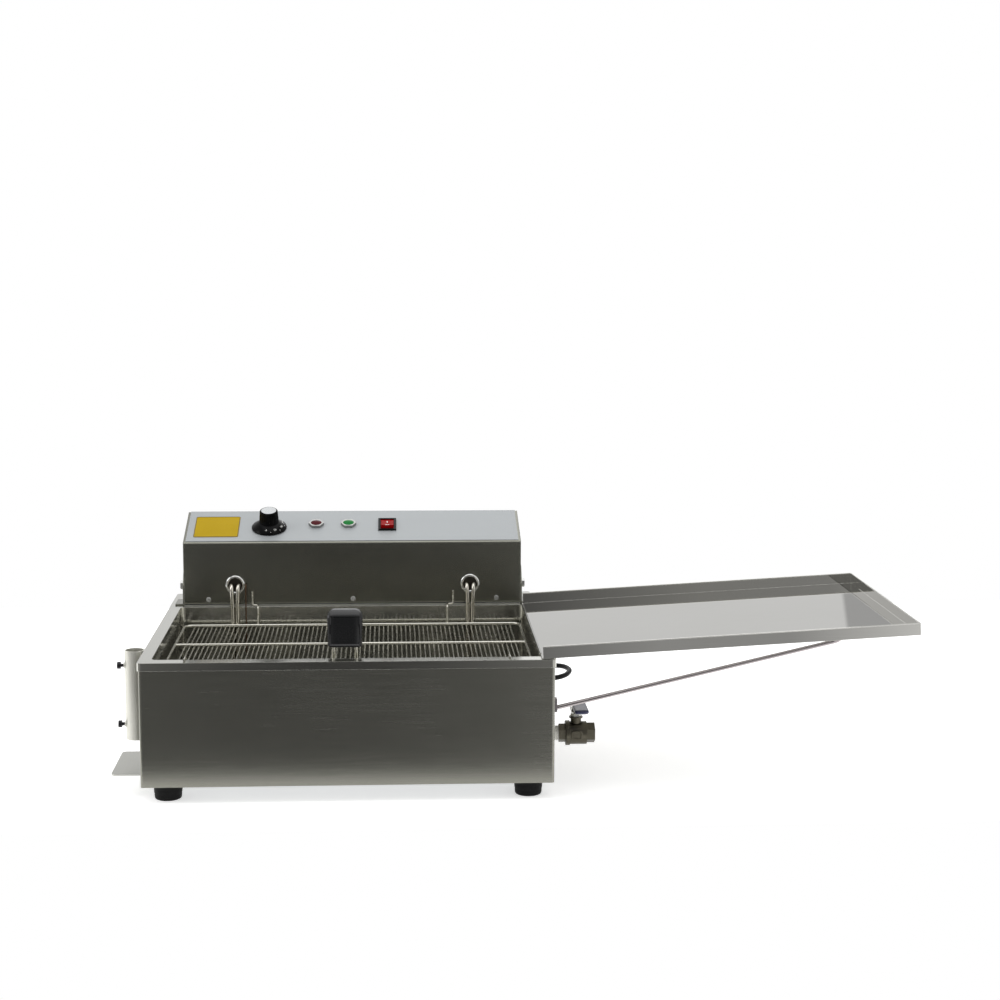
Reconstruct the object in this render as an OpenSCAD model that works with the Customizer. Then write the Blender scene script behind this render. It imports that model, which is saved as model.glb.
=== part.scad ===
// Countertop donut fryer: oil tank in a steel casing, control head with two heating elements,
// frying screen, drain valve, draining tray on a strut and a socket for a dispenser's post.
// Millimetres. X runs to the right, Y to the back, Z up from the floor.

/* [Casing] */
// Width of the casing
casing_w = 600; // [540:5:660]
// Depth of the casing, front to back
casing_d = 540; // [536:2:600]
// Height from the casing's lower edge to the rim
casing_h = 184; // [180:1:220]
// Thickness of the casing's sheet
casing_sheet = 1.5; // [1:0.1:2.5]
// Outside radius of the casing's upright corners
casing_corner_r = 4; // [3:0.5:8]
// Height of the feet below the casing
foot_h = 25; // [18:1:40]
// Diameter of a foot where it meets the base
foot_d = 44; // [30:1:50]

/* [Tank] */
// Width of the rim at the tank's sides
rim_side_w = 17; // [12:0.5:24]
// Width of the rim at the front
rim_front_w = 21; // [14:0.5:26]
// Length of the tank's inside, front to back
tank_len = 399; // [370:1:402]
// Depth of the tank below the rim
tank_depth = 158; // [154:1:166]
// Thickness of the tank's sheet
tank_sheet = 1.5; // [1:0.1:2]
// Height of the lip folded down over the casing
rim_lip_h = 12; // [6:0.5:18]

/* [Control head] */
// Width of the head
head_w = 558; // [520:2:562]
// Height of the head's front face
head_face_h = 104; // [90:1:130]
// Depth of the head
head_d = 108; // [100:1:108]
// Rise of the sloping panel over the depth
head_rise = 38; // [20:1:50]
// Thickness of the head's sheet
head_sheet = 1.2; // [0.8:0.1:2]
// Height of the element outlets above the rim
outlet_h = 36; // [30:1:50]
// Distance of each element's centre from the tank's side
element_x = 89; // [85:1:98]
// Diameter of the heating tube
element_d = 6.5; // [6:0.5:8]

/* [Screen] */
// Depth of the frying screen below the rim
screen_drop = 28; // [20:1:40]
// Diameter of the screen's long wires
screen_wire_d = 2.2; // [1.6:0.1:3]
// Distance between neighbouring wires
screen_pitch = 7.2; // [6:0.2:12]
// Width of the screen's grip
grip_w = 53; // [44:1:60]
// Height of the screen's grip
grip_h = 53; // [36:1:60]

/* [Tray] */
// Length of the draining tray, away from the tank
tray_len = 557; // [480:1:600]
// Slope of the tray
tray_slope = 3.15; // [2:0.05:5]
// Height of the tray's lips
tray_lip_h = 18; // [12:0.5:26]
// Diameter of the strut's rod
strut_d = 6.5; // [4:0.5:7]
// Height above the floor of the strut's lower end
strut_foot_z = 131; // [120:1:140]

/* [Drain valve] */
// Distance of the valve behind the front
valve_y = 140; // [120:1:180]
// Height of the valve's axis above the tank's bottom
drain_rise = 12; // [11:0.5:16]
// Outside diameter of the drain pipe
pipe_d = 21.3; // [18:0.1:22]
// Diameter of the way through the valve
valve_bore_d = 15; // [10:0.5:16]
// Reach of the valve's lever from its stem
lever_len = 92; // [70:1:100]

/* [Post socket] */
// Outside diameter of the socket tube
post_d = 30; // [26:0.5:36]
// Wall of the socket tube
post_wall = 2; // [1.5:0.1:3]
// Length of the socket tube
post_len = 134; // [110:1:140]
// Distance of the socket's axis behind the front
post_y = 100; // [90:1:140]

/* [Cord] */
// Diameter of the power cord
cord_d = 8.5; // [8.4:0.1:8.6]
// Number of turns in the stored coil
coil_turns = 4.25; // [3.25:1:5.25]

/* [Hidden] */
$fn = 48;

// Clearances: overrun of a cut, gap between fixed pieces, gap of a turning fit, gap of a moving piece
over = 1;
seat = 0.1;
run_gap = 0.06;
free_gap = 0.4;

// Heights of the rim and the tank's bottom
rim_z = foot_h + casing_h;
tank_floor_z = rim_z - tank_depth;
base_z = foot_h + casing_sheet;
base_sheet = 2;

// Rim and tank outlines
lip_gap = 0.2;
rim_reach = lip_gap + tank_sheet;
tank_w = casing_w - 2 * rim_side_w;
tank_back_y = rim_front_w + tank_len;
tank_corner_r = 8;
casing_flange_w = 12;
least_corner_r = 1;

// Feet: inset from the casing's sides, sole diameter, recess for the screw
foot_inset_x = 36;
foot_inset_y = 34.5;
foot_sole_d = 39;
foot_recess_d = 14;
foot_recess_h = 9;
foot_screw_d = 6;
foot_head_d = 11;
foot_head_h = 5;
foot_nut_d = 11.5;
foot_nut_h = 5;
foot_places = [for (sx = [-1, 1], y = [foot_inset_y, casing_d - foot_inset_y])
    [sx * (casing_w / 2 - foot_inset_x), y]];

// Control head: place, bend radius, inward flange, louvres
head_front_gap = 8;
head_front_y = tank_back_y + head_front_gap;
head_lift = 2;
head_bend_r = 4;
head_flange_w = 14;
head_z = rim_z + head_lift;
head_angle = atan(head_rise / head_d);
slope_len = head_d / cos(head_angle);
bend_steps = 5;
louvre_end_in = 40;
louvre_w = 26;
louvre_h = 4;
louvre_pitch = 38;
louvre_count = floor((head_w - 2 * louvre_end_in) / louvre_pitch);
louvre_z = 70;
end_plate_t = 1.5;

// Screws along the foot of the head's face
head_screw_in = 41;
head_screw_x = head_w / 2 - head_screw_in;
head_screw_z = 9;
head_screw_d = 4;
head_screw_head_d = 8;
head_screw_head_h = 2.6;
head_screw_len = 9;
base_upturn_h = 18;

// Brackets that hold the head, with their bolts
bracket_t = 2.5;
bracket_len = 44;
bracket_set_back = 8;
bracket_h = 60;
bracket_foot_w = 15;
bracket_nose_share = 0.55;
bracket_bolt_h = 31;
bracket_bolt_d = 8;
bracket_bolt_af = 13;
bracket_bolt_head_h = 5.5;
bracket_nut_h = 6.5;
bracket_bolt_set_back = 30;

// Panel: overlay and what it carries, as places from the head's left end and up the slope
overlay_t = 0.8;
overlay_margin = 4;
label_w = 74;
label_l = 72;
label_t = 0.4;
label_corner_r = 3;
label_in = 52;
label_x = label_in - head_w / 2;
label_s = 54;
knob_in = 139;
knob_x = knob_in - head_w / 2;
knob_s = 50;
red_lamp_in = 217;
red_lamp_x = red_lamp_in - head_w / 2;
green_lamp_in = 271;
green_lamp_x = green_lamp_in - head_w / 2;
lamp_s = 60;
switch_in = 336;
switch_x = switch_in - head_w / 2;
switch_s = 58;

// Knob and thermostat shaft
knob_skirt_d = 58;
knob_skirt_edge_h = 2;
knob_skirt_h = 10;
knob_skirt_top_d = 35;
knob_grip_d = 32;
knob_grip_top_d = 29;
knob_h = 32;
knob_lift = 1;
knob_cap_d = 25;
knob_cap_t = 1.2;
knob_bore_depth = 22;
shaft_d = 6;
shaft_hole_d = 10;
thermostat_w = 46;
thermostat_l = 36;
thermostat_h = 28;
thermostat_boss_d = 9;
bulb_d = 6;
bulb_len = 110;
capillary_d = 2;
capillary_bend_r = 6;
bulb_rise = 8;

// Pilot lamps
lamp_d = 26;
lamp_sides = 6;
lamp_rim_h = 4.5;
lamp_lens_d = 18;
lamp_lens_h = 6;
lamp_seat_h = 1;
lamp_barrel_d = 15.6;
lamp_barrel_l = 26;
lamp_hole_gap = 0.2;

// Rocker switch
switch_w = 30;
switch_l = 40;
switch_rim_h = 3;
switch_body_w = 25.6;
switch_body_l = 36;
switch_body_h = 28;
switch_wall = 1.4;
rocker_l = 32;
rocker_w = 21.6;
rocker_end_h = 5.4;
rocker_mid_h = 2.1;
rocker_keel_w = 10;
rocker_keel_h = 8;
rocker_pin_d = 3;
rocker_pin_l = 1.2;
rocker_room_h = 12;
rocker_angle = atan((rocker_end_h - rocker_mid_h) / (rocker_l / 2));

// Inside the head: contactor, terminal block, limit thermostat, as sizes and places from its right end
contactor_w = 46;
contactor_l = 60;
contactor_h = 72;
contactor_step = 12;
contactor_in = 129;
contactor_x = head_w / 2 - contactor_in;
terminal_w = 84;
terminal_l = 26;
terminal_h = 24;
terminal_in = 47;
terminal_x = head_w / 2 - terminal_in;
terminal_slots = 6;
terminal_slot_d = 7;
limit_w = 34;
limit_l = 36;
limit_h = 26;
limit_boss_d = 10;
limit_boss_h = 8;
limit_in = 187;
limit_x = head_w / 2 - limit_in;
inside_set_back = 44;

// Heating elements: legs, flat loops in the tank, outlet rings, rests
leg_spread = 11;
leg_close = 7.5;
element_cx = tank_w / 2 - element_x;
leg_front_gap = 16;
bulb_x = leg_spread + element_d - element_cx;
leg_bend_r = 9;
cold_end_l = 34;
loop_rise = 22;
loop_half_w = 78;
loop_inner_half_w = 26;
loop_front_y = 92;
loop_back_gap = 42;
loop_bend_r = 18;
element_sides = 8;
ring_d = 32;
ring_h = 6;
ring_lip_d = 24;
ring_lip_h = 3;
rest_t = 3;
rest_half_w = 86;
rest_front_y = 120;
rest_back_y = 330;

// Frying screen: frame, cross bars, hooks and grip
screen_side_gap = 8;
screen_front_gap = 12;
screen_back_gap = 16;
screen_frame_d = 4;
screen_bar_d = 3.4;
screen_corner_r = 12;
screen_bar_y = [105, 255];
hook_d = 3;
hook_sides = 8;
hook_bend_r = 3.5;
front_hook_in = 48;
front_hook_x = tank_w / 2 - front_hook_in;
front_hook_reach = 13;
rear_hook_in = 127;
rear_hook_x = tank_w / 2 - rear_hook_in;
rear_hook_reach = 4;
rear_finger_out = 10;
rear_finger_h = 25;
handle_wire_d = 5;
handle_x = -5;
handle_leg_half = 16.5;
handle_leg_y = 50;
handle_leg_in_grip = 24;
handle_bend_r = 10;
grip_t = 28;
grip_z = 12;
grip_top_r = 12;
grip_foot_r = 4;
grip_lean = 13;
grip_bore_gap = 0.2;

// Draining tray: bead on the rim, sheet, ends, lugs for the strut
tray_sheet = 1.2;
tray_bead_d = 4;
tray_bead_in = -2.3;
tray_bead_end_gap = 2;
tray_front_y = 1;
tray_back_gap = 0.4;
lug_t = 12;
lug_w = 12;
lug_cap = 1.5;
lug_inset = 36;
strut_bar_s = 445;
strut_side_in = 24;
strut_bend_r = 12;
strut_foot_gap = 1.2;
clip_t = 1.5;
clip_reach = 5;
clip_h = 20;
clip_below = 2;

// Drain pipe and valve, measured from the ball's centre along the pipe
valve_off = 44.5;
nipple_wall = 2.8;
nipple_thread = 9;
cap_af = 25;
cap_hex_l = 10.5;
body_half = 16;
body_d = 35;
body_flange_d = 38;
body_flange_l = 6;
outlet_af = 27;
outlet_hex_l = 12.5;
outlet_thread_d = 18.6;
outlet_thread_l = 12;
ball_d = 23;
ball_room_d = 25;
ball_room_half = 9;
seat_len = 4;
seat_ball_gap = 0.05;
neck_d = 16;
neck_h = 26;
neck_flange_d = 21;
neck_flange_h = 2;
stem_d = 8;
stem_foot_d = 11;
stem_foot_z = 13;
stem_foot_h = 2.5;
stem_tang_w = 3.6;
stem_tang_l = 9;
ball_slot_depth = 2.5;
packing_af = 14;
packing_h = 5;
packing_thread_h = 5;
packing_d = 12.5;
lever_t = 2.5;
lever_w = 17;
lever_z = 36;
lever_back = 10;
lever_flat = 16;
lever_rise = 17;
lever_slant = 20;
lever_stud_d = 6;
lever_nut_af = 10;
lever_nut_h = 5;
sleeve_t = 2.2;
sleeve_mouth_gap = 1;
sleeve_len = lever_len - lever_flat - lever_slant - sleeve_mouth_gap;
valve_x = casing_w / 2 + valve_off;
valve_z = tank_floor_z + drain_rise;

// Post socket: tube, saddles, clamp screws, plate under the post
post_gap = 2;
post_x = -(casing_w / 2 + post_gap + post_d / 2);
post_top_drop = 2;
saddle_w = 18;
saddle_h = 20;
saddle_inset = 22;
clamp_upper_drop = 23;
clamp_lower_drop = 112;
clamp_d = 5;
clamp_boss_d = 8.5;
clamp_boss_l = 1.5;
clamp_head_d = 10.5;
clamp_head_h = 5;
clamp_standoff = 6;
clamp_socket_d = 4;
clamp_socket_depth = 2.5;
plate_w = 47;
plate_l = 126;
plate_t = 2.5;
plate_rise = 8;
plate_leg_h = 26;
plate_corner_r = 6;

// Power cord: gland on the right wall, hand-chosen route, coil and plug behind the casing
gland_back_in = 70;
gland_y = casing_d - gland_back_in;
gland_z = 71;
gland_flange_d = 24;
gland_flange_l = 5;
gland_nut_d = 22;
gland_nut_l = 5;
gland_shank_d = 16;
gland_sleeve_d = 19;
gland_tip_d = 16;
gland_tip_l = 24;
cord_sides = 8;
cord_steps = [[0, 0, 0], [8, 0, 0], [22, 4, 1], [34, 13, 2], [42, 27, 3], [46, 44, 4], [44, 61, 4],
    [37, 76, 4], [24, 87, 3], [8, 92, 2], [-9, 92, 0], [-26, 92, -4], [-42, 92, -11], [-57, 92, -20],
    [-71, 92, -30], [-85, 92, -41], [-98, 93, -51], [-110, 98, -58], [-120, 107, -62.5],
    [-128, 120, -65], [-132, 135, -65.5], [-134, 148, -65.5], [-134, 158, -65.5]];
gland_tip = [casing_w / 2 + gland_tip_l, gland_y, gland_z];
cord_route = [for (p = cord_steps) gland_tip + p];
route_end = cord_route[len(cord_route) - 1];
coil_r = 53;
coil_x = route_end[0] - coil_r;
coil_y = route_end[1] + cord_d;
cord_joint_gap = 0.3;
coil_gap = 0.7;
coil_lift = route_end[2] - cord_d / 2;
coil_tail_l = 40;
coil_rings = 24;
coil_sides = 6;
tie_t = 0.8;
tie_w = 12;
tie_gap = 0.3;
plug_w = 28;
plug_h = 26;
plug_l = 38;
plug_neck_d = 14;
plug_neck_l = 24;
plug_corner_r = 5;
blade_w = 6.3;
blade_t = 1.5;
blade_l = 16;
blade_gap = 12.7;
earth_d = 4.8;
earth_l = 19;
earth_drop = 8;

// Extents of the object without its cord, and the origin: the middle of that box on the floor
tray_pivot = [tank_w / 2 + tray_bead_in, 0, rim_z + free_gap + tray_sheet / 2];
tray_back_y = head_front_y - head_screw_head_h - tray_back_gap;
tray_right_x = tray_pivot[0] + tray_len * cos(tray_slope) + tray_sheet / 2 * sin(tray_slope);
left_x = -(casing_w / 2 + plate_w);
front_y = -rim_reach;
back_y = casing_d + rim_reach;
origin = [(left_x + tray_right_x) / 2, (front_y + back_y) / 2, 0];

// Strut: upper bar under the tray, lower ends on the casing's right wall
strut_bar_drop = tray_sheet / 2 + lug_cap + strut_d / 2;
strut_pivot = tray_pivot + [strut_bar_s * cos(tray_slope) + strut_bar_drop * sin(tray_slope), 0,
    strut_bar_s * sin(tray_slope) - strut_bar_drop * cos(tray_slope)];
strut_foot = [casing_w / 2 + clip_t + strut_foot_gap, 0, strut_foot_z];
strut_run = strut_pivot - strut_foot;
strut_angle = atan(strut_run[2] / strut_run[0]);
strut_len = norm(strut_run);
strut_y = [tray_front_y + strut_side_in, tray_back_y - strut_side_in];

// Points of an arc about (cx, cy)
function arc(cx, cy, r, a0, a1, n) =
    [for (i = [0:n]) [cx + r * cos(a0 + (a1 - a0) * i / n), cy + r * sin(a0 + (a1 - a0) * i / n)]];

function unit(v) = v / norm(v);

// Arc that rounds corner b of the path a-b-c at radius r
function corner(a, b, c, r, n) =
    let (u = unit(a - b), v = unit(c - b), half = acos(u * v) / 2, mid = unit(u + v),
         o = b + mid * r / sin(half), p = b + u * r / tan(half), e1 = unit(p - o),
         q = b + v * r / tan(half) - o, e2 = unit(q - e1 * (q * e1)), turn = 180 - 2 * half)
    [for (i = [0:n]) o + r * (cos(turn * i / n) * e1 + sin(turn * i / n) * e2)];

// Path with every inner corner rounded at radius r in n steps
function rounded(path, r, n) = [path[0],
    for (i = [1:len(path) - 2]) each corner(path[i - 1], path[i], path[i + 1], r, n),
    path[len(path) - 1]];

function tangent(path, i) = unit(path[min(i + 1, len(path) - 1)] - path[max(i - 1, 0)]);

// Sideways directions along a path, carried on from ring to ring without twisting
function carried(path, i, side) = i == len(path) ? [] :
    let (t = tangent(path, i), s = unit(side - t * (side * t)))
    concat([s], carried(path, i + 1, s));

// Least distance between points of a path that lie at least a number of steps apart
function least_gap(path, apart) = min([for (i = [0:len(path) - 1 - apart], j = [i + apart:len(path) - 1])
    norm(path[i] - path[j])]);

// Round tube swept along a path
module tube(path, r, sides, side) {
    sideways = carried(path, 0, side);
    rings = [for (i = [0:len(path) - 1], j = [0:sides - 1])
        let (a = 360 * j / sides, t = tangent(path, i))
        path[i] + r * (cos(a) * sideways[i] + sin(a) * cross(t, sideways[i]))];
    last = (len(path) - 1) * sides;
    walls = [for (i = [0:len(path) - 2], j = [0:sides - 1])
        let (p = i * sides + j, q = i * sides + (j + 1) % sides)
        each [[p, p + sides, q + sides], [p, q + sides, q]]];
    caps = [for (j = [1:sides - 2]) each [[0, j, j + 1], [last, last + j + 1, last + j]]];
    polyhedron(points = rings, faces = concat(walls, caps), convexity = 10);
}

// Moves the model so that its origin lies at the middle of its footprint
module at_origin() translate(-origin) children();

// Extrusion of a (y, z) outline along X from x0
module along_x(x0, l) translate([x0, 0, 0]) rotate([90, 0, 90]) linear_extrude(l) children();

// Flat rectangle with round corners, centred
module round_rect(w, d, r) {
    square([w - 2 * r, d], center = true);
    square([w, d - 2 * r], center = true);
    for (sx = [-1, 1], sy = [-1, 1]) translate([sx * (w / 2 - r), sy * (d / 2 - r)]) circle(r);
}

// Casing's outline, grown or shrunk by a margin
module footprint(margin) translate([0, casing_d / 2])
    round_rect(casing_w + 2 * margin, casing_d + 2 * margin, max(casing_corner_r + margin, least_corner_r));

// Tank's inside outline, grown by a margin
module tank_outline(margin) translate([0, rim_front_w + tank_len / 2])
    round_rect(tank_w + 2 * margin, tank_len + 2 * margin, tank_corner_r + margin);

// Cylinder along +X or +Y from a point
module bar_x(p, d, l) translate(p) rotate([0, 90, 0]) cylinder(d = d, h = l);
module bar_y(p, d, l) translate(p) rotate([-90, 0, 0]) cylinder(d = d, h = l);

// Hexagon across flats, along +Z
module hex(af, h) cylinder(d = af / cos(30), h = h, $fn = 6);

// Frame on the sloping panel: X across, Y up the slope, Z out of the panel
module on_panel(x, s) translate([x, head_front_y, head_z + head_face_h])
    rotate([head_angle, 0, 0]) translate([0, s, 0]) children();

// Frame at the ball's centre
module at_valve() translate([valve_x, valve_y, valve_z]) children();

// Frame on the tray: X along its length from the bead, Z out of its floor
module on_tray() translate(tray_pivot) rotate([0, -tray_slope, 0]) children();

module casing() color("#5b5b57") at_origin() difference() {
    union() {
        translate([0, 0, foot_h]) linear_extrude(casing_h - tank_sheet) difference() {
            footprint(0);
            footprint(-casing_sheet);
        }
        translate([0, 0, foot_h]) linear_extrude(casing_sheet) difference() {
            footprint(-casing_sheet / 2);
            footprint(-casing_flange_w);
        }
    }
    bar_x([casing_w / 2 - casing_corner_r, valve_y, valve_z], pipe_d + 2 * free_gap, 2 * casing_corner_r);
    bar_x([casing_w / 2 - casing_corner_r, gland_y, gland_z], gland_shank_d + 2 * seat,
        2 * casing_corner_r);
}

module base_plate() color("#8d8f8e") at_origin() translate([0, 0, base_z]) linear_extrude(base_sheet)
    difference() {
        footprint(-casing_sheet - seat);
        for (p = foot_places) translate(p) circle(d = foot_screw_d + 2 * seat);
    }

module oil_tank() color("#a3a5a2") at_origin() difference() {
    union() {
        translate([0, 0, rim_z - tank_sheet]) linear_extrude(tank_sheet) difference() {
            footprint(rim_reach);
            tank_outline(0);
        }
        translate([0, 0, rim_z - rim_lip_h]) linear_extrude(rim_lip_h) difference() {
            footprint(rim_reach);
            footprint(lip_gap);
        }
        translate([0, 0, tank_floor_z - tank_sheet]) linear_extrude(tank_depth) difference() {
            tank_outline(tank_sheet);
            tank_outline(0);
        }
        translate([0, 0, tank_floor_z - tank_sheet]) linear_extrude(tank_sheet)
            tank_outline(tank_sheet / 2);
    }
    bar_x([tank_w / 2 - tank_corner_r, valve_y, valve_z], pipe_d + 2 * seat, 2 * tank_corner_r);
}

module rubber_feet() color("#1d1d1d") at_origin() for (p = foot_places) translate(p) difference() {
    cylinder(d1 = foot_sole_d, d2 = foot_d, h = base_z);
    translate([0, 0, -over]) cylinder(d = foot_recess_d, h = foot_recess_h + over);
    cylinder(d = foot_screw_d + 2 * seat, h = base_z + over);
}

module foot_screws() color("#c9cac8") at_origin() for (p = foot_places) translate(p) {
    translate([0, 0, foot_recess_h - foot_head_h]) cylinder(d = foot_head_d, h = foot_head_h);
    translate([0, 0, foot_recess_h - over]) cylinder(d = foot_screw_d,
        h = base_z + base_sheet + foot_nut_h - foot_recess_h + over);
    translate([0, 0, base_z + base_sheet]) cylinder(d = foot_nut_d, h = foot_nut_h, $fn = 6);
}

module drain_nipple() color("#d4d3cd") at_origin()
    difference() {
        bar_x([tank_w / 2, valve_y, valve_z], pipe_d,
            valve_x - body_half - cap_hex_l + nipple_thread - tank_w / 2);
        bar_x([tank_w / 2 - over, valve_y, valve_z], pipe_d - 2 * nipple_wall, valve_x);
    }

module valve_end_cap() color("#857f76") at_origin() at_valve() difference() {
    union() {
        translate([-body_half - cap_hex_l, 0, 0]) rotate([0, 90, 0]) hex(cap_af, cap_hex_l);
        bar_x([-body_half - over, 0, 0], ball_room_d - 2 * seat, body_half - ball_room_half + over);
    }
    bar_x([-body_half - cap_hex_l - over, 0, 0], pipe_d + 2 * seat, nipple_thread + over);
    bar_x([-body_half - cap_hex_l, 0, 0], valve_bore_d, body_half + cap_hex_l);
}

module valve_body() color("#857f76") at_origin() at_valve() difference() {
    union() {
        bar_x([-body_half, 0, 0], body_d, 2 * body_half);
        bar_x([-body_half, 0, 0], body_flange_d, body_flange_l);
        translate([body_half - over, 0, 0]) rotate([0, 90, 0]) hex(outlet_af, outlet_hex_l + over);
        cylinder(d = neck_d, h = neck_h);
        translate([0, 0, neck_h - neck_flange_h]) cylinder(d = neck_flange_d, h = neck_flange_h);
    }
    bar_x([-body_half - over, 0, 0], ball_room_d, body_half + ball_room_half + over);
    bar_x([0, 0, 0], valve_bore_d, body_half + outlet_hex_l + over);
    bar_x([body_half + outlet_hex_l - outlet_thread_l, 0, 0], outlet_thread_d, outlet_thread_l + over);
    cylinder(d = stem_foot_d + 2 * run_gap, h = stem_foot_z + stem_foot_h + run_gap);
    cylinder(d = stem_d + 2 * run_gap, h = neck_h + over);
    translate([0, 0, neck_h - packing_thread_h]) cylinder(d = packing_d + 2 * seat,
        h = packing_thread_h + over);
}

module valve_seats() color("#f2f0e8") at_origin() at_valve() difference() {
    for (x = [-ball_room_half, ball_room_half - seat_len])
        bar_x([x, 0, 0], ball_room_d - 2 * seat, seat_len);
    sphere(d = ball_d + 2 * seat_ball_gap, $fn = 64);
    bar_x([-ball_room_half - over, 0, 0], valve_bore_d, 2 * (ball_room_half + over));
}

module packing_nut() color("#b9bab7") at_origin() at_valve() difference() {
    union() {
        translate([0, 0, neck_h - packing_thread_h]) cylinder(d = packing_d, h = packing_thread_h + over);
        translate([0, 0, neck_h]) hex(packing_af, packing_h);
    }
    cylinder(d = stem_d + 2 * run_gap, h = neck_h + packing_h + over);
}

module valve_stem() color("#c4c4c0") at_origin() at_valve() {
    translate([-stem_tang_w / 2, -stem_tang_l / 2, ball_d / 2 - ball_slot_depth + seat])
        cube([stem_tang_w, stem_tang_l, stem_foot_z - ball_d / 2 + ball_slot_depth - seat]);
    translate([0, 0, stem_foot_z]) cylinder(d = stem_foot_d, h = stem_foot_h);
    translate([0, 0, stem_foot_z]) cylinder(d = stem_d, h = lever_z - stem_foot_z);
    translate([0, 0, lever_z - over]) cylinder(d = lever_stud_d, h = lever_t + lever_nut_h + 2 * over);
}

module valve_ball() color("#d8d8d6") at_origin() at_valve() difference() {
    sphere(d = ball_d, $fn = 64);
    bar_y([0, -ball_d, 0], valve_bore_d, 2 * ball_d);
    translate([-stem_tang_w / 2 - seat, -ball_d / 2, ball_d / 2 - ball_slot_depth])
        cube([stem_tang_w + 2 * seat, ball_d, ball_d]);
}

// Side view of the lever: flat at the stem, a slant up, then the grip, all toward -Y
module lever_side(z0, z1) polygon([[lever_back, lever_z + z0], [lever_back, lever_z + z1],
    [-lever_flat, lever_z + z1], [-lever_flat - lever_slant, lever_z + lever_rise + z1],
    [-lever_len, lever_z + lever_rise + z1], [-lever_len, lever_z + lever_rise + z0],
    [-lever_flat - lever_slant, lever_z + lever_rise + z0], [-lever_flat, lever_z + z0]]);

module valve_lever() color("#b4b5b3") at_origin() at_valve() difference() {
    along_x(-lever_w / 2, lever_w) lever_side(0, lever_t);
    translate([0, 0, lever_z - over]) cylinder(d = lever_stud_d + 2 * seat, h = lever_t + 2 * over);
}

module lever_sleeve() color("#1c2b57") at_origin() at_valve() difference() {
    translate([-lever_w / 2 - sleeve_t, -lever_len - sleeve_t, lever_z + lever_rise - sleeve_t])
        cube([lever_w + 2 * sleeve_t, sleeve_len + sleeve_t, lever_t + 2 * sleeve_t]);
    translate([-lever_w / 2 - seat, -lever_len - seat, lever_z + lever_rise - seat])
        cube([lever_w + 2 * seat, sleeve_len + over, lever_t + 2 * seat]);
}

module lever_nut() color("#c4c4c0") at_origin() at_valve() translate([0, 0, lever_z + lever_t])
    difference() {
    hex(lever_nut_af, lever_nut_h);
    translate([0, 0, -over]) cylinder(d = lever_stud_d + 2 * seat, h = lever_nut_h + 2 * over);
}

module post_tube() color("#b3b3a9") at_origin() translate([post_x, post_y,
    rim_z - post_top_drop - post_len]) difference() {
    union() {
        cylinder(d = post_d, h = post_len, $fn = 64);
        for (drop = [clamp_upper_drop, clamp_lower_drop])
            bar_x([-post_d / 2 - clamp_boss_l, 0, post_len - drop], clamp_boss_d, clamp_boss_l + post_wall);
    }
    translate([0, 0, -over]) cylinder(d = post_d - 2 * post_wall, h = post_len + 2 * over, $fn = 64);
    for (drop = [clamp_upper_drop, clamp_lower_drop])
        bar_x([-post_d, 0, post_len - drop], clamp_d + 2 * run_gap, post_d);
}

module post_saddles() color("#8f8f88") at_origin() translate([0, post_y, rim_z - post_top_drop])
    difference() {
    for (z = [-saddle_inset - saddle_h, -post_len + saddle_inset])
        translate([post_x, -saddle_w / 2, z]) cube([-casing_w / 2 - post_x, saddle_w, saddle_h]);
    translate([post_x, 0, -post_len - over]) cylinder(d = post_d + 2 * seat, h = post_len + 2 * over,
        $fn = 64);
}

module post_plate() color("#9d9e9a") at_origin() translate([-casing_w / 2, post_y, foot_h + plate_rise]) {
    linear_extrude(plate_t) difference() {
        translate([-plate_w / 2, 0]) square([plate_w, plate_l], center = true);
        for (sy = [-1, 1]) translate([-plate_w, sy * plate_l / 2]) difference() {
            square(2 * plate_corner_r, center = true);
            translate([plate_corner_r, -sy * plate_corner_r]) circle(plate_corner_r);
        }
    }
    translate([-plate_t, -plate_l / 2, 0]) cube([plate_t, plate_l, plate_leg_h]);
}

// Clamp screw, backed out, at a drop below the tube's top
module clamp_screw(drop) color("#2e2e30") at_origin() translate([post_x, post_y,
    rim_z - post_top_drop - drop]) difference() {
    union() {
        bar_x([-post_d / 2 - clamp_standoff - clamp_head_h, 0, 0], clamp_head_d, clamp_head_h);
        bar_x([-post_d / 2 - clamp_standoff - over, 0, 0], clamp_d,
            clamp_standoff + over + post_wall - seat);
    }
    bar_x([-post_d / 2 - clamp_standoff - clamp_head_h - over, 0, 0], clamp_socket_d,
        clamp_socket_depth + over);
}
module clamp_screw_upper() clamp_screw(clamp_upper_drop);
module clamp_screw_lower() clamp_screw(clamp_lower_drop);

// Side view of the head, shrunk by an inset: foot, face, slope and back with round bends
function head_outline(inset) = let (r = head_bend_r, a = head_angle, bent = r - inset,
        t1 = r * (1 - sin(a)) / cos(a), t2 = (head_d - r * (1 + sin(a))) / cos(a))
    concat(arc(r, r, bent, 270, 180, bend_steps),
        arc(r, head_face_h + t1 * sin(a) - r * cos(a), bent, 180, 90 + a, bend_steps),
        arc(head_d - r, head_face_h + t2 * sin(a) - r * cos(a), bent, 90 + a, 0, bend_steps),
        arc(head_d - r, r, bent, 0, -90, bend_steps));

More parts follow.
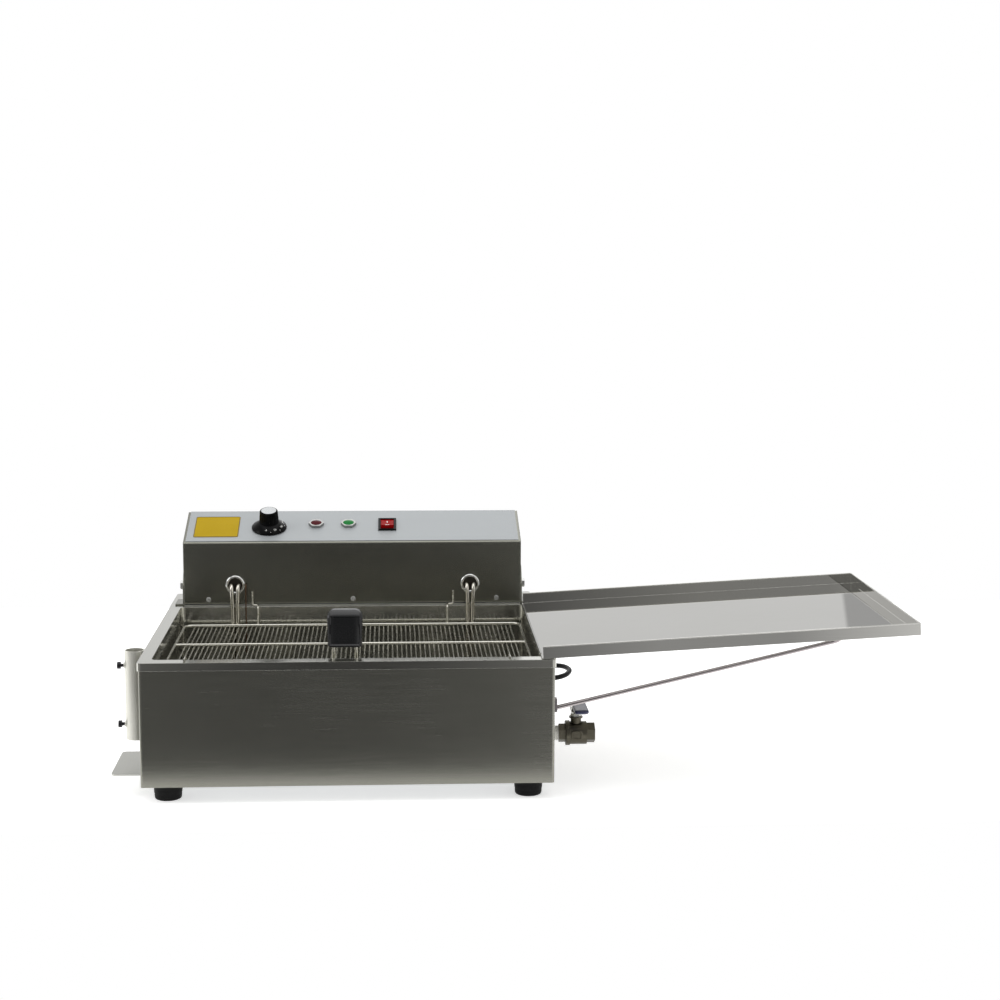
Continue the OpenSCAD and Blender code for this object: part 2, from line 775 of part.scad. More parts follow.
module head_shell() color("#6f706c") at_origin() difference() {
    translate([0, head_front_y, head_z]) along_x(-head_w / 2, head_w) difference() {
        polygon(head_outline(0));
        polygon(head_outline(head_sheet));
        translate([head_flange_w, -over]) square([head_d - 2 * head_flange_w, head_sheet + 2 * over]);
    }
    panel_holes();
    for (sx = [-1, 1]) bar_y([sx * element_cx, head_front_y - over, rim_z + outlet_h],
        ring_lip_d + 2 * seat, head_bend_r + over);
    for (x = [-head_screw_x, 0, head_screw_x])
        bar_y([x, head_front_y - over, head_z + head_screw_z], head_screw_d + 2 * seat, head_bend_r + over);
    bar_y([bulb_x, head_front_y - over, rim_z + outlet_h], capillary_d + 2 * seat, head_bend_r + over);
    for (i = [0:louvre_count - 1])
        translate([(i - (louvre_count - 1) / 2) * louvre_pitch - louvre_w / 2,
            head_front_y + head_d - head_bend_r, head_z + louvre_z])
            cube([louvre_w, head_bend_r + over, louvre_h]);
}

// Holes that the knob's shaft, the lamps and the switch need in the panel
module panel_holes() {
    on_panel(knob_x, knob_s) translate([0, 0, -head_bend_r]) cylinder(d = shaft_hole_d,
        h = 2 * head_bend_r);
    for (x = [red_lamp_x, green_lamp_x])
        on_panel(x, lamp_s) translate([0, 0, -head_bend_r])
            cylinder(d = lamp_barrel_d + 2 * lamp_hole_gap, h = 2 * head_bend_r);
    on_panel(switch_x, switch_s) translate([-switch_body_w / 2 - seat, -switch_body_l / 2 - seat,
        -head_bend_r])
        cube([switch_body_w + 2 * seat, switch_body_l + 2 * seat, 2 * head_bend_r]);
}

module head_end_plates() color("#6f706c") at_origin() for (x = [-head_w / 2, head_w / 2 - end_plate_t])
    difference() {
    translate([0, head_front_y, head_z]) along_x(x, end_plate_t) polygon(head_outline(head_sheet + seat));
    bar_x([x - over, head_front_y + bracket_bolt_set_back, rim_z + bracket_bolt_h],
        bracket_bolt_d + 2 * seat, end_plate_t + 2 * over);
}

module head_base() color("#8d8f8e") at_origin() difference() {
    translate([-head_w / 2 + end_plate_t + seat, head_front_y + head_sheet + seat, head_z + head_sheet]) {
        cube([head_w - 2 * (end_plate_t + seat), head_d - 2 * (head_sheet + seat), head_sheet]);
        translate([0, head_bend_r, 0]) cube([head_w - 2 * (end_plate_t + seat), head_sheet, base_upturn_h]);
    }
    for (sy = [0, 1]) translate([0, head_front_y + sy * head_d, head_z]) rotate([45, 0, 0])
        cube([head_w, 2 * head_bend_r, 2 * head_bend_r], center = true);
    for (x = [-head_screw_x, 0, head_screw_x])
        bar_y([x, head_front_y, head_z + head_screw_z], head_screw_d + 2 * seat, head_d / 2);
}

module control_panel() color("#c9cac9") at_origin() difference() {
    on_panel(-head_w / 2 + overlay_margin, overlay_margin)
        cube([head_w - 2 * overlay_margin, slope_len - 2 * overlay_margin, overlay_t]);
    panel_holes();
}

module head_screws() color("#b6b7b5") at_origin() for (x = [-head_screw_x, 0, head_screw_x]) {
    bar_y([x, head_front_y - head_screw_head_h, head_z + head_screw_z], head_screw_head_d,
        head_screw_head_h);
    bar_y([x, head_front_y - over, head_z + head_screw_z], head_screw_d, head_screw_len + over);
}

// Head brackets: a foot on the rim and a nosed plate beside the head
module head_brackets() color("#85867f") at_origin() for (sx = [-1, 1]) difference() {
    union() {
        translate([0, head_front_y + bracket_set_back, rim_z])
            along_x(sx * (head_w / 2 + seat + bracket_t / 2) - bracket_t / 2, bracket_t)
            polygon([[0, 0], [0, bracket_h * bracket_nose_share], [bracket_len * (1 - bracket_nose_share),
                bracket_h],
                [bracket_len, bracket_h], [bracket_len, 0]]);
        translate([sx * (head_w / 2 + seat + bracket_foot_w / 2),
            head_front_y + bracket_set_back + bracket_len / 2, rim_z + bracket_t / 2])
            cube([bracket_foot_w, bracket_len, bracket_t], center = true);
    }
    bar_x([sx * head_w / 2 - bracket_foot_w, head_front_y + bracket_bolt_set_back, rim_z + bracket_bolt_h],
        bracket_bolt_d + 2 * seat, 2 * bracket_foot_w);
}

module bracket_bolts() color("#2b2b2d") at_origin() for (sx = [-1, 1])
    translate([sx * head_w / 2, head_front_y + bracket_bolt_set_back, rim_z + bracket_bolt_h]) rotate([0,
        sx * 90, 0]) {
        translate([0, 0, seat + bracket_t]) hex(bracket_bolt_af, bracket_bolt_head_h);
        translate([0, 0, -end_plate_t - bracket_nut_h]) cylinder(d = bracket_bolt_d,
            h = end_plate_t + bracket_nut_h + bracket_t + over);
        translate([0, 0, -end_plate_t - bracket_nut_h]) hex(bracket_bolt_af, bracket_nut_h);
    }

module label_plate() color("#e2c11c") at_origin() on_panel(label_x, label_s) translate([0, 0, overlay_t])
    linear_extrude(label_t) round_rect(label_w, label_l, label_corner_r);

// Bezel of a pilot lamp: rim on the panel and a barrel through it
module lamp_bezels() color("#8f9090") at_origin() for (x = [red_lamp_x, green_lamp_x]) on_panel(x,
    lamp_s) difference() {
    union() {
        translate([0, 0, overlay_t]) cylinder(d = lamp_d, h = lamp_rim_h, $fn = lamp_sides);
        translate([0, 0, -lamp_barrel_l]) cylinder(d = lamp_barrel_d, h = lamp_barrel_l + over);
    }
    translate([0, 0, overlay_t + lamp_seat_h]) cylinder(d = lamp_lens_d + 2 * seat, h = lamp_rim_h);
}

// Lens of a pilot lamp: a disc with a low dome
module lens(x) on_panel(x, lamp_s) translate([0, 0, overlay_t + lamp_seat_h]) intersection() {
    cylinder(d = lamp_lens_d, h = lamp_lens_h);
    translate([0, 0, lamp_lens_h - lamp_lens_d]) sphere(r = lamp_lens_d);
}
module red_lens() color("#7d1414") at_origin() lens(red_lamp_x);
module green_lens() color("#2f8f43") at_origin() lens(green_lamp_x);

module switch_housing() color("#161616") at_origin() on_panel(switch_x, switch_s) difference() {
    union() {
        translate([-switch_w / 2, -switch_l / 2, overlay_t]) cube([switch_w, switch_l, switch_rim_h]);
        translate([-switch_body_w / 2, -switch_body_l / 2, -switch_body_h]) cube([switch_body_w,
            switch_body_l, switch_body_h + over]);
    }
    translate([-rocker_w / 2 - free_gap, -rocker_l / 2 - switch_wall, -rocker_room_h])
        cube([rocker_w + 2 * free_gap, rocker_l + 2 * switch_wall,
            rocker_room_h + switch_rim_h + 2 * over]);
    bar_x([-switch_w / 2 + switch_wall, 0, 0], rocker_pin_d + 2 * run_gap, switch_w - 2 * switch_wall);
}

module switch_rocker() color("#c3171b") at_origin() on_panel(switch_x, switch_s) rotate([-rocker_angle, 0,
    0]) {
    along_x(-rocker_w / 2, rocker_w) polygon([[-rocker_l / 2, 0], [-rocker_l / 2, rocker_end_h], [0,
        rocker_mid_h],
        [rocker_l / 2, rocker_end_h], [rocker_l / 2, 0], [rocker_keel_w / 2, -rocker_keel_h],
            [-rocker_keel_w / 2, -rocker_keel_h]]);
    bar_x([-rocker_w / 2 - rocker_pin_l, 0, 0], rocker_pin_d, rocker_w + 2 * rocker_pin_l);
}

module thermostat_body() color("#b8b2a2") at_origin() on_panel(knob_x, knob_s) difference() {
    union() {
        translate([-thermostat_w / 2, -thermostat_l / 2, -head_sheet - thermostat_h]) cube([thermostat_w,
            thermostat_l, thermostat_h - seat]);
        translate([0, 0, -head_sheet - over]) cylinder(d = thermostat_boss_d, h = head_sheet + over);
    }
    translate([0, 0, -head_sheet - thermostat_h / 2]) cylinder(d = shaft_d + 2 * run_gap, h = thermostat_h);
}

module thermostat_shaft() color("#c0c1bd") at_origin() on_panel(knob_x, knob_s)
    translate([0, 0, -head_sheet - thermostat_h / 2 + free_gap])
        cylinder(d = shaft_d, h = head_sheet + thermostat_h / 2 + overlay_t + knob_lift + knob_bore_depth
            - 2 * free_gap);

module knob() color("#191919") at_origin() on_panel(knob_x, knob_s) translate([0, 0,
    overlay_t + knob_lift]) difference() {
    rotate_extrude($fn = 72) polygon([[0, 0], [knob_skirt_d / 2, 0], [knob_skirt_d / 2, knob_skirt_edge_h],
        [knob_skirt_top_d / 2, knob_skirt_h], [knob_grip_d / 2, knob_skirt_h + over],
        [knob_grip_top_d / 2, knob_h - over], [knob_grip_top_d / 2 - over, knob_h], [0, knob_h]]);
    translate([0, 0, -over]) cylinder(d = shaft_d + 2 * seat, h = knob_bore_depth + over);
    translate([0, 0, knob_h - knob_cap_t]) cylinder(d = knob_cap_d + 2 * seat, h = knob_cap_t + over);
}

module knob_cap() color("#e4e4e2") at_origin() on_panel(knob_x, knob_s)
    translate([0, 0, overlay_t + knob_lift + knob_h - knob_cap_t]) cylinder(d = knob_cap_d, h = knob_cap_t);

// Sensing bulb clipped beside the left element, with its capillary up into the head
module thermostat_bulb() color("#b9803f") at_origin() {
    bulb_y = tank_back_y - leg_front_gap / 2;
    bulb_z = tank_floor_z + loop_rise + element_d / 2 + bulb_rise + bulb_d / 2;
    capillary_y = tank_back_y - capillary_d;
    bar_y([bulb_x, bulb_y - bulb_len, bulb_z], bulb_d, bulb_len - capillary_bend_r);
    tube(rounded([[bulb_x, bulb_y - capillary_bend_r - over, bulb_z], [bulb_x, capillary_y, bulb_z],
        [bulb_x, capillary_y, rim_z + outlet_h], [bulb_x, head_front_y + cold_end_l, rim_z + outlet_h]],
        capillary_bend_r, bend_steps), capillary_d / 2, element_sides, [1, 0, 0]);
}

// Frame on the head's base, at a place along X
module on_base(x) translate([x, head_front_y + inside_set_back, head_z + 2 * head_sheet]) children();

module limit_thermostat() color("#cfc8b4") at_origin() on_base(limit_x) {
    translate([-limit_w / 2, 0, 0]) cube([limit_w, limit_l, limit_h]);
    translate([0, limit_l / 2, limit_h - over]) cylinder(d = limit_boss_d, h = limit_boss_h + over);
}

module contactor() color("#d9d6cb") at_origin() on_base(contactor_x) {
    translate([-contactor_w / 2, 0, 0]) cube([contactor_w, contactor_l, contactor_h - contactor_step]);
    translate([-contactor_w / 2, contactor_step, 0]) cube([contactor_w, contactor_l - 2 * contactor_step,
        contactor_h]);
}

module terminal_block() color("#e5e2d8") at_origin() on_base(terminal_x) difference() {
    translate([-terminal_w / 2, 0, 0]) cube([terminal_w, terminal_l, terminal_h]);
    for (i = [0:terminal_slots - 1])
        translate([(i + 1 / 2 - terminal_slots / 2) * terminal_w / terminal_slots, terminal_l / 2,
            terminal_h / 2])
            cylinder(d = terminal_slot_d, h = terminal_h);
}

// Path of one heating tube: in through the outlet, down the back wall, an M of flat loops and out again
leg_y = head_front_y - leg_front_gap;
loop_z = tank_floor_z + loop_rise;
function element_path(xc) = let (near = leg_spread / 2, low = leg_close / 2, out = loop_half_w,
        inn = loop_inner_half_w,
        head_y = head_front_y + cold_end_l, top = rim_z + outlet_h, mid_y = leg_y - loop_back_gap)
    concat(rounded([[xc - near, head_y, top], [xc - near, leg_y, top], [xc - low, leg_y, rim_z],
        [xc - low, leg_y, loop_z], [xc - out, leg_y, loop_z],
            [xc - out, leg_y - 2 * loop_bend_r, loop_z]], leg_bend_r, bend_steps),
        [for (p = arc(xc - (out + inn) / 2, loop_front_y, (out - inn) / 2, 180, 360,
            2 * bend_steps)) [p[0], p[1], loop_z]],
        [for (p = arc(xc, mid_y - inn, inn, 180, 0, 2 * bend_steps)) [p[0], p[1], loop_z]],
        [for (p = arc(xc + (out + inn) / 2, loop_front_y, (out - inn) / 2, 180, 360,
            2 * bend_steps)) [p[0], p[1], loop_z]],
        rounded([[xc + out, leg_y - 2 * loop_bend_r, loop_z], [xc + out, leg_y, loop_z],
            [xc + low, leg_y, loop_z], [xc + low, leg_y, rim_z],
            [xc + near, leg_y, top], [xc + near, head_y, top]], leg_bend_r, bend_steps));

module element_left() color("#7b6f63") at_origin() tube(element_path(-element_cx), element_d / 2,
    element_sides, [0, 0, 1]);
module element_right() color("#7b6f63") at_origin() tube(element_path(element_cx), element_d / 2,
    element_sides, [0, 0, 1]);

module element_rings() color("#d0d1cf") at_origin() for (sx = [-1, 1]) difference() {
    union() {
        bar_y([sx * element_cx, head_front_y - ring_h, rim_z + outlet_h], ring_d, ring_h);
        bar_y([sx * element_cx, head_front_y - over, rim_z + outlet_h], ring_lip_d, ring_lip_h + over);
    }
    for (side = [-1, 1]) bar_y([sx * element_cx + side * leg_spread / 2, head_front_y - ring_h - over,
        rim_z + outlet_h],
        element_d + 2 * seat, ring_h + ring_lip_h + 2 * over);
}

module element_rests() color("#9b9c98") at_origin() for (sx = [-1, 1], y = [rest_front_y, rest_back_y])
    difference() {
    translate([sx * element_cx - rest_half_w, y, tank_floor_z]) cube([2 * rest_half_w, rest_t, loop_rise]);
    for (x = [-loop_half_w, -loop_inner_half_w, loop_inner_half_w, loop_half_w])
        bar_y([sx * element_cx + x, y - over, loop_z], element_d + 2 * seat, rest_t + 2 * over);
}

// Frying screen's outline: half width, front, back and height of its frame
screen_half_w = tank_w / 2 - screen_side_gap;
screen_front_y = rim_front_w + screen_front_gap;
screen_back_y = tank_back_y - screen_back_gap;
screen_z = rim_z - screen_drop;
screen_wire_z = screen_z - (screen_frame_d + screen_wire_d) / 2 - seat;

module screen_frame() color("#a9aaa7") at_origin() {
    r = screen_corner_r;
    for (sx = [-1, 1]) bar_y([sx * screen_half_w, screen_front_y + r, screen_z], screen_frame_d,
        screen_back_y - screen_front_y - 2 * r);
    for (y = [screen_front_y, screen_back_y]) bar_x([-screen_half_w + r, y, screen_z], screen_frame_d,
        2 * (screen_half_w - r));
    for (c = [[1, screen_back_y - r, 0], [-1, screen_back_y - r, 90], [-1, screen_front_y + r, 180], [1,
        screen_front_y + r, 270]])
        translate([c[0] * (screen_half_w - r), c[1], screen_z]) rotate(c[2])
            rotate_extrude(angle = 90) translate([r, 0]) circle(d = screen_frame_d);
    for (y = screen_bar_y) bar_x([-screen_half_w, y, screen_z], screen_bar_d, 2 * screen_half_w);
}

wire_half_count = floor((screen_half_w - screen_corner_r) / screen_pitch);

module screen_wires() color("#b7b8b5") at_origin() for (i = [-wire_half_count:wire_half_count])
    bar_y([i * screen_pitch, screen_front_y - screen_frame_d / 2, screen_wire_z], screen_wire_d,
        screen_back_y - screen_front_y + screen_frame_d);

// Hooks that hang the screen on the front and back rims
module screen_hooks() color("#cfd0cd") at_origin() {
    rest_z = rim_z + free_gap + hook_d / 2;
    foot_z = screen_z + screen_frame_d / 2;
    front_y = screen_front_y - (screen_frame_d + hook_d) / 2 - seat;
    back_y = screen_back_y + (screen_frame_d + hook_d) / 2 + seat;
    for (sx = [-1, 1]) {
        tube(rounded([[sx * front_hook_x, front_y, foot_z - screen_frame_d], [sx * front_hook_x, front_y,
            rest_z],
            [sx * front_hook_x, rim_front_w - front_hook_reach, rest_z]], hook_bend_r, bend_steps),
                hook_d / 2, hook_sides, [1, 0, 0]);
        tube(rounded([[sx * rear_hook_x, back_y, foot_z - screen_frame_d], [sx * rear_hook_x, back_y,
            rest_z],
            [sx * rear_hook_x, tank_back_y + rear_hook_reach, rest_z],
                [sx * (rear_hook_x + rear_finger_out), tank_back_y + rear_hook_reach, rest_z],
            [sx * (rear_hook_x + rear_finger_out), tank_back_y + rear_hook_reach, rim_z + rear_finger_h]],
            hook_bend_r, bend_steps), hook_d / 2, hook_sides, [1, 0, 0]);
    }
}

// Wire of the grip: up from the frame's front, with both ends inside the grip
grip_foot_z = rim_z + grip_z;
module handle_wire() color("#c3c4c1") at_origin() {
    wire_z = screen_z + (screen_frame_d + handle_wire_d) / 2 + seat;
    for (leg_x = [handle_x - handle_leg_half, handle_x + handle_leg_half])
        tube(rounded([[leg_x, screen_front_y, wire_z], [leg_x, handle_leg_y, wire_z],
            [leg_x, handle_leg_y, grip_foot_z + handle_leg_in_grip]], handle_bend_r, bend_steps),
            handle_wire_d / 2, hook_sides, [1, 0, 0]);
}

module handle_grip() color("#141414") at_origin() translate([handle_x, handle_leg_y, grip_foot_z])
    difference() {
    hull() for (sx = [-1, 1], sy = [-1, 1]) {
        translate([sx * (grip_w / 2 - grip_foot_r), sy * (grip_t / 2 - grip_foot_r), grip_foot_r])
            sphere(grip_foot_r, $fn = 24);
        translate([sx * (grip_w / 2 - grip_top_r), sy * (grip_t / 2 - grip_top_r) + grip_lean,
            grip_h - grip_top_r]) sphere(grip_top_r, $fn = 32);
    }
    for (sx = [-1, 1]) translate([sx * handle_leg_half, 0, -over])
        cylinder(d = handle_wire_d + 2 * grip_bore_gap, h = handle_leg_in_grip + 2 * over);
}

module drain_tray() color("#b9b9b3") at_origin() on_tray() {
    y0 = tray_front_y;
    w = tray_back_y - tray_front_y;
    low = -tray_sheet / 2;
    bead_y0 = rim_front_w + tank_corner_r + tray_bead_end_gap;
    bead_y1 = tank_back_y - tank_corner_r - tray_bead_end_gap;
    bar_y([0, bead_y0, 0], tray_bead_d, bead_y1 - bead_y0);
    translate([0, y0, low]) cube([tray_len, w, tray_sheet]);
    for (y = [y0, y0 + w - tray_sheet]) translate([tray_bead_d / 2, y, low])
        cube([tray_len - tray_bead_d / 2, tray_sheet, tray_lip_h]);
    translate([tray_len - tray_sheet, y0, low]) cube([tray_sheet, w, tray_lip_h]);
}

module tray_lugs() color("#9d9e9a") at_origin() on_tray() for (y = [strut_y[0] + lug_inset,
    strut_y[1] - lug_inset - lug_t]) difference() {
    translate([strut_bar_s - lug_w / 2, y, -tray_sheet / 2 - 2 * lug_cap - strut_d]) cube([lug_w, lug_t,
        2 * lug_cap + strut_d]);
    bar_y([strut_bar_s, y - over, -strut_bar_drop], strut_d + 2 * run_gap, lug_t + 2 * over);
}

// Strut: a bent rod with its bar in the tray's lugs and two arms down to the casing
module strut() color("#6e6f6d") at_origin() translate(strut_pivot) rotate([0, 180 - strut_angle, 0]) {
    r = strut_bend_r;
    bar_y([0, strut_y[0] + r, 0], strut_d, strut_y[1] - strut_y[0] - 2 * r);
    for (y = strut_y) bar_x([r, y, 0], strut_d, strut_len - r);
    for (c = [[strut_y[0] + r, 180], [strut_y[1] - r, 90]]) translate([r, c[0], 0]) rotate(c[1])
        rotate_extrude(angle = 90) translate([r, 0]) circle(d = strut_d);
}

// Clips on the casing's right wall: a back, a ledge and two cheeks about each arm's end
module strut_clips() color("#77786f") at_origin() for (y = strut_y)
    translate([casing_w / 2, y - strut_d / 2 - free_gap - clip_t,
        strut_foot_z - strut_d / 2 - clip_below]) {
        inside = strut_d + 2 * free_gap;
        cube([clip_t, inside + 2 * clip_t, clip_h]);
        for (dy = [0, inside + clip_t]) translate([0, dy, 0]) cube([clip_reach, clip_t, clip_h]);
        cube([clip_reach, inside + 2 * clip_t, clip_t]);
    }

// Gland on the right wall: flange, tapered sleeve, shank through the wall and a nut inside
module cord_gland() color("#161616") at_origin() translate([casing_w / 2, gland_y, gland_z]) rotate([0,
    90, 0]) {
    translate([0, 0, -casing_sheet - gland_nut_l]) cylinder(d = gland_nut_d, h = gland_nut_l, $fn = 6);
    translate([0, 0, -casing_sheet - over]) cylinder(d = gland_shank_d, h = casing_sheet + 2 * over);
    cylinder(d = gland_flange_d, h = gland_flange_l);
    translate([0, 0, gland_flange_l - over]) cylinder(d1 = gland_sleeve_d, d2 = gland_tip_d,
        h = gland_tip_l - gland_flange_l + over);
}

module cord_lead() color("#1a1a1a") at_origin() tube(cord_route, cord_d / 2, cord_sides, [0, 0, 1]);

// Coil: spirals in on the floor, climbs a layer where it turns, and spirals out above
coil_step = cord_d + coil_gap;
coil_path = [for (i = [0:coil_turns * coil_rings]) let (t = i / coil_rings, half = coil_turns / 2,
        r = coil_r - coil_step * min(t, coil_turns - t), climb = min(max((t - half) * 2 + 1 / 2, 0), 1))
    [coil_x + r * cos(360 * t), coil_y + r * sin(360 * t), coil_lift + cord_d / 2 + coil_step * climb]];
coil_end = coil_path[len(coil_path) - 1];
echo(coil_least_gap = least_gap(coil_path, coil_rings / 2) - cord_d);

module cord_coil() color("#1a1a1a") at_origin()
    tube([coil_path[0] - [0, cord_d - cord_joint_gap, 0], for (p = coil_path)
    p, coil_end - [coil_tail_l, 0, 0]],
    cord_d / 2, coil_sides, [0, 0, 1]);

// Tie round the coil's section on its left side
module coil_tie() color("#2a2a2a") at_origin() {
    half = coil_turns / 2;
    inner = coil_r - coil_step * half - cord_d / 2 - tie_gap;
    outer = coil_r + cord_d / 2 + tie_gap;
    top = coil_lift + coil_step + cord_d + tie_gap;
    low = coil_lift - tie_gap;
    translate([coil_x, coil_y, 0]) difference() {
        translate([-outer - tie_t, -tie_w / 2, low - tie_t]) cube([outer - inner + 2 * tie_t, tie_w,
            top - low + 2 * tie_t]);
        translate([-outer, -tie_w, low]) cube([outer - inner, 2 * tie_w, top - low]);
    }
}

// Frame at the plug: X runs back along the cord's end
module at_plug() translate(coil_end - [coil_tail_l, 0, 0]) children();

module plug() color("#181818") at_origin() at_plug() difference() {
    union() {
        bar_x([-plug_neck_l, 0, 0], plug_neck_d, plug_neck_l);
        translate([-plug_neck_l - plug_l, 0, 0]) rotate([90, 0, 90]) linear_extrude(plug_l)
            round_rect(plug_w, plug_h, plug_corner_r);
    }
    for (y = [-blade_gap / 2, blade_gap / 2]) translate([-plug_neck_l - plug_l - over,
        y - blade_t / 2 - seat, -blade_w / 2 - seat])
        cube([blade_l / 2 + over, blade_t + 2 * seat, blade_w + 2 * seat]);
    bar_x([-plug_neck_l - plug_l - over, 0, -earth_drop], earth_d + 2 * seat, earth_l / 2 + over);
}

module plug_blades() color("#c9b26a") at_origin() at_plug() translate([-plug_neck_l - plug_l, 0, 0]) {
    for (y = [-blade_gap / 2, blade_gap / 2]) translate([-blade_l, y - blade_t / 2, -blade_w / 2])
        cube([blade_l * 3 / 2, blade_t, blade_w]);
    bar_x([-earth_l, 0, -earth_drop], earth_d, earth_l * 3 / 2);
}

casing();
base_plate();
oil_tank();
rubber_feet();
foot_screws();
drain_nipple();
valve_end_cap();
valve_body();
valve_seats();
packing_nut();
valve_stem();
valve_ball();
valve_lever();
lever_sleeve();
lever_nut();
post_tube();
post_saddles();
post_plate();
clamp_screw_upper();
clamp_screw_lower();
head_shell();
head_end_plates();
head_base();
control_panel();
head_screws();
head_brackets();
bracket_bolts();
label_plate();
lamp_bezels();
red_lens();
green_lens();
switch_housing();
switch_rocker();
thermostat_body();
thermostat_shaft();
thermostat_bulb();
knob();
knob_cap();
limit_thermostat();
contactor();
terminal_block();
element_left();
element_right();
element_rings();
element_rests();
screen_frame();
screen_wires();
screen_hooks();
handle_wire();
handle_grip();
drain_tray();
tray_lugs();
strut();
strut_clips();
cord_gland();
cord_lead();
cord_coil();
coil_tie();
plug();
plug_blades();
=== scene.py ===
"""Looks of a countertop donut fryer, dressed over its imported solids.

Lengths in the classes are millimetres in the maker's frame: X from the casing's middle to the right,
Y from the casing's front to the back, Z up from the floor. place() turns them to the row frame in metres.
"""
import logging
import math
from dataclasses import dataclass, field
from enum import Enum
from typing import Any

import bpy
import numpy as np
from mathutils import Matrix


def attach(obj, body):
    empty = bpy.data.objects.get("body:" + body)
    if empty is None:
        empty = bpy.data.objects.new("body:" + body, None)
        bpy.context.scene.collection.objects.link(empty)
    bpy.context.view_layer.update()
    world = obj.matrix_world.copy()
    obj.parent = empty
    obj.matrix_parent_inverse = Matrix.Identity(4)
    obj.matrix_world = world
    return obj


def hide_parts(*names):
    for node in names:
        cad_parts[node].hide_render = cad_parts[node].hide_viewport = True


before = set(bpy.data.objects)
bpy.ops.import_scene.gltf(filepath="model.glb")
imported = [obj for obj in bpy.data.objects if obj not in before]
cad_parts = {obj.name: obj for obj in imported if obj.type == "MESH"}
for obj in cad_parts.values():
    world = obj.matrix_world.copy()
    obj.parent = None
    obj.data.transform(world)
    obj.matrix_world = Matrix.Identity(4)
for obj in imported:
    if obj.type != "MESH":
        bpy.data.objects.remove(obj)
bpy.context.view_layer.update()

LOG = logging.getLogger("fryer")
Array = np.ndarray
Pair, Triple = tuple[float, float], tuple[float, float, float]
TURN = 2 * math.pi

# Maker's point that lies at the row frame's origin
ORIGIN = np.array([244.945699, 270.0, 0.0])
# Right wall's outside, top of the tank's rim, and the depths where the painted shade on its front fold
# starts and is full
WALL_X, RIM_Z, FRONT_SHADE_Y = 300.0, 209.0, (0.4, -0.2)
# Head's front, the height of its panel's lower edge and the panel's slope
HEAD_Y, PANEL_Z, PANEL_SLOPE = 428.0, 315.0, math.atan(38 / 108)
# Tray's hinge line and the slope of its floor
TRAY_X, TRAY_Z, TRAY_SLOPE = 280.7, 210.0, math.radians(3.15)
# Direction that no swept path follows, from which a tube's circles start
SIDEWAYS = np.array([0.55, 0.62, 0.56])
# Sockets of a colour Mix node: both colours and the result
MIX_A, MIX_B, MIX_OUT = 6, 7, 2
# Range that the sum of two noises covers
NOISE_SUM = {"From Min": 0.7, "From Max": 1.3}
# Half the thickness of a printed digit and the chords in its curves
GLYPH_HALF_T, GLYPH_STEPS = 0.12, 3


class Body(Enum):
    """CAD bodies that the pieces ride on."""
    FRYER = "fryer"
    KNOB = "knob"
    ROCKER = "rocker"
    LEVER = "valve_handle"
    TRAY = "tray"
    SCREEN = "screen"


class Grain(Enum):
    """Direction of a sheet's grain: the share at which its pattern changes along X, Y and Z."""
    ALONG_X = (0.02, 1.0, 1.0)
    ALONG_Y = (1.0, 0.02, 1.0)
    ALONG_Z = (1.0, 1.0, 0.02)
    EVEN = (1.0, 1.0, 1.0)


def linear(hex_colour: str) -> tuple[float, float, float, float]:
    """Turns an sRGB hex colour to linear light.

    Args:
        hex_colour: six hex digits, with or without a leading hash.

    Returns:
        Red, green, blue and an alpha of one.
    """
    digits = hex_colour.lstrip("#")
    parts = [int(digits[i:i + 2], 16) / 255 for i in (0, 2, 4)]
    red, green, blue = (c / 12.92 if c <= 0.04045 else ((c + 0.055) / 1.055) ** 2.4 for c in parts)
    return red, green, blue, 1.0


def place(points: Array) -> Array:
    """Moves points from the maker's frame, in millimetres, to the row frame, in metres."""
    return (np.asarray(points, float) - ORIGIN) / 1000


def points_at(x: Any, y: Any, z: Any) -> Array:
    """Joins x, y and z, each a number or an array that fits the others' shape, to points."""
    return np.stack(np.broadcast_arrays(x, y, z), axis=-1).astype(float)


def unit(vectors: Array) -> Array:
    """Scales vectors, held in the last axis, to a length of one."""
    return vectors / np.linalg.norm(vectors, axis=-1, keepdims=True)


def around(sides: int) -> Array:
    """Angles of a full turn in equal steps, the last one open."""
    return np.linspace(0, TURN, sides, endpoint=False)


def on_panel(points: Array) -> Array:
    """Carries points (across, up the slope, out of the panel) on to the sloping panel.

    Args:
        points: array whose last axis holds the three panel coordinates.

    Returns:
        The same points in the maker's frame.
    """
    across, up, out = np.moveaxis(np.asarray(points, float), -1, 0)
    c, s = math.cos(PANEL_SLOPE), math.sin(PANEL_SLOPE)
    return points_at(across, HEAD_Y + up * c - out * s, PANEL_Z + up * s + out * c)


def on_tray(points: Array) -> Array:
    """Carries points (along the tray, across it, out of its floor) on to the sloping tray.

    Args:
        points: array whose last axis holds the three tray coordinates.

    Returns:
        The same points in the maker's frame.
    """
    along, across, out = np.moveaxis(np.asarray(points, float), -1, 0)
    c, s = math.cos(TRAY_SLOPE), math.sin(TRAY_SLOPE)
    return points_at(TRAY_X + along * c - out * s, across, TRAY_Z + along * s + out * c)


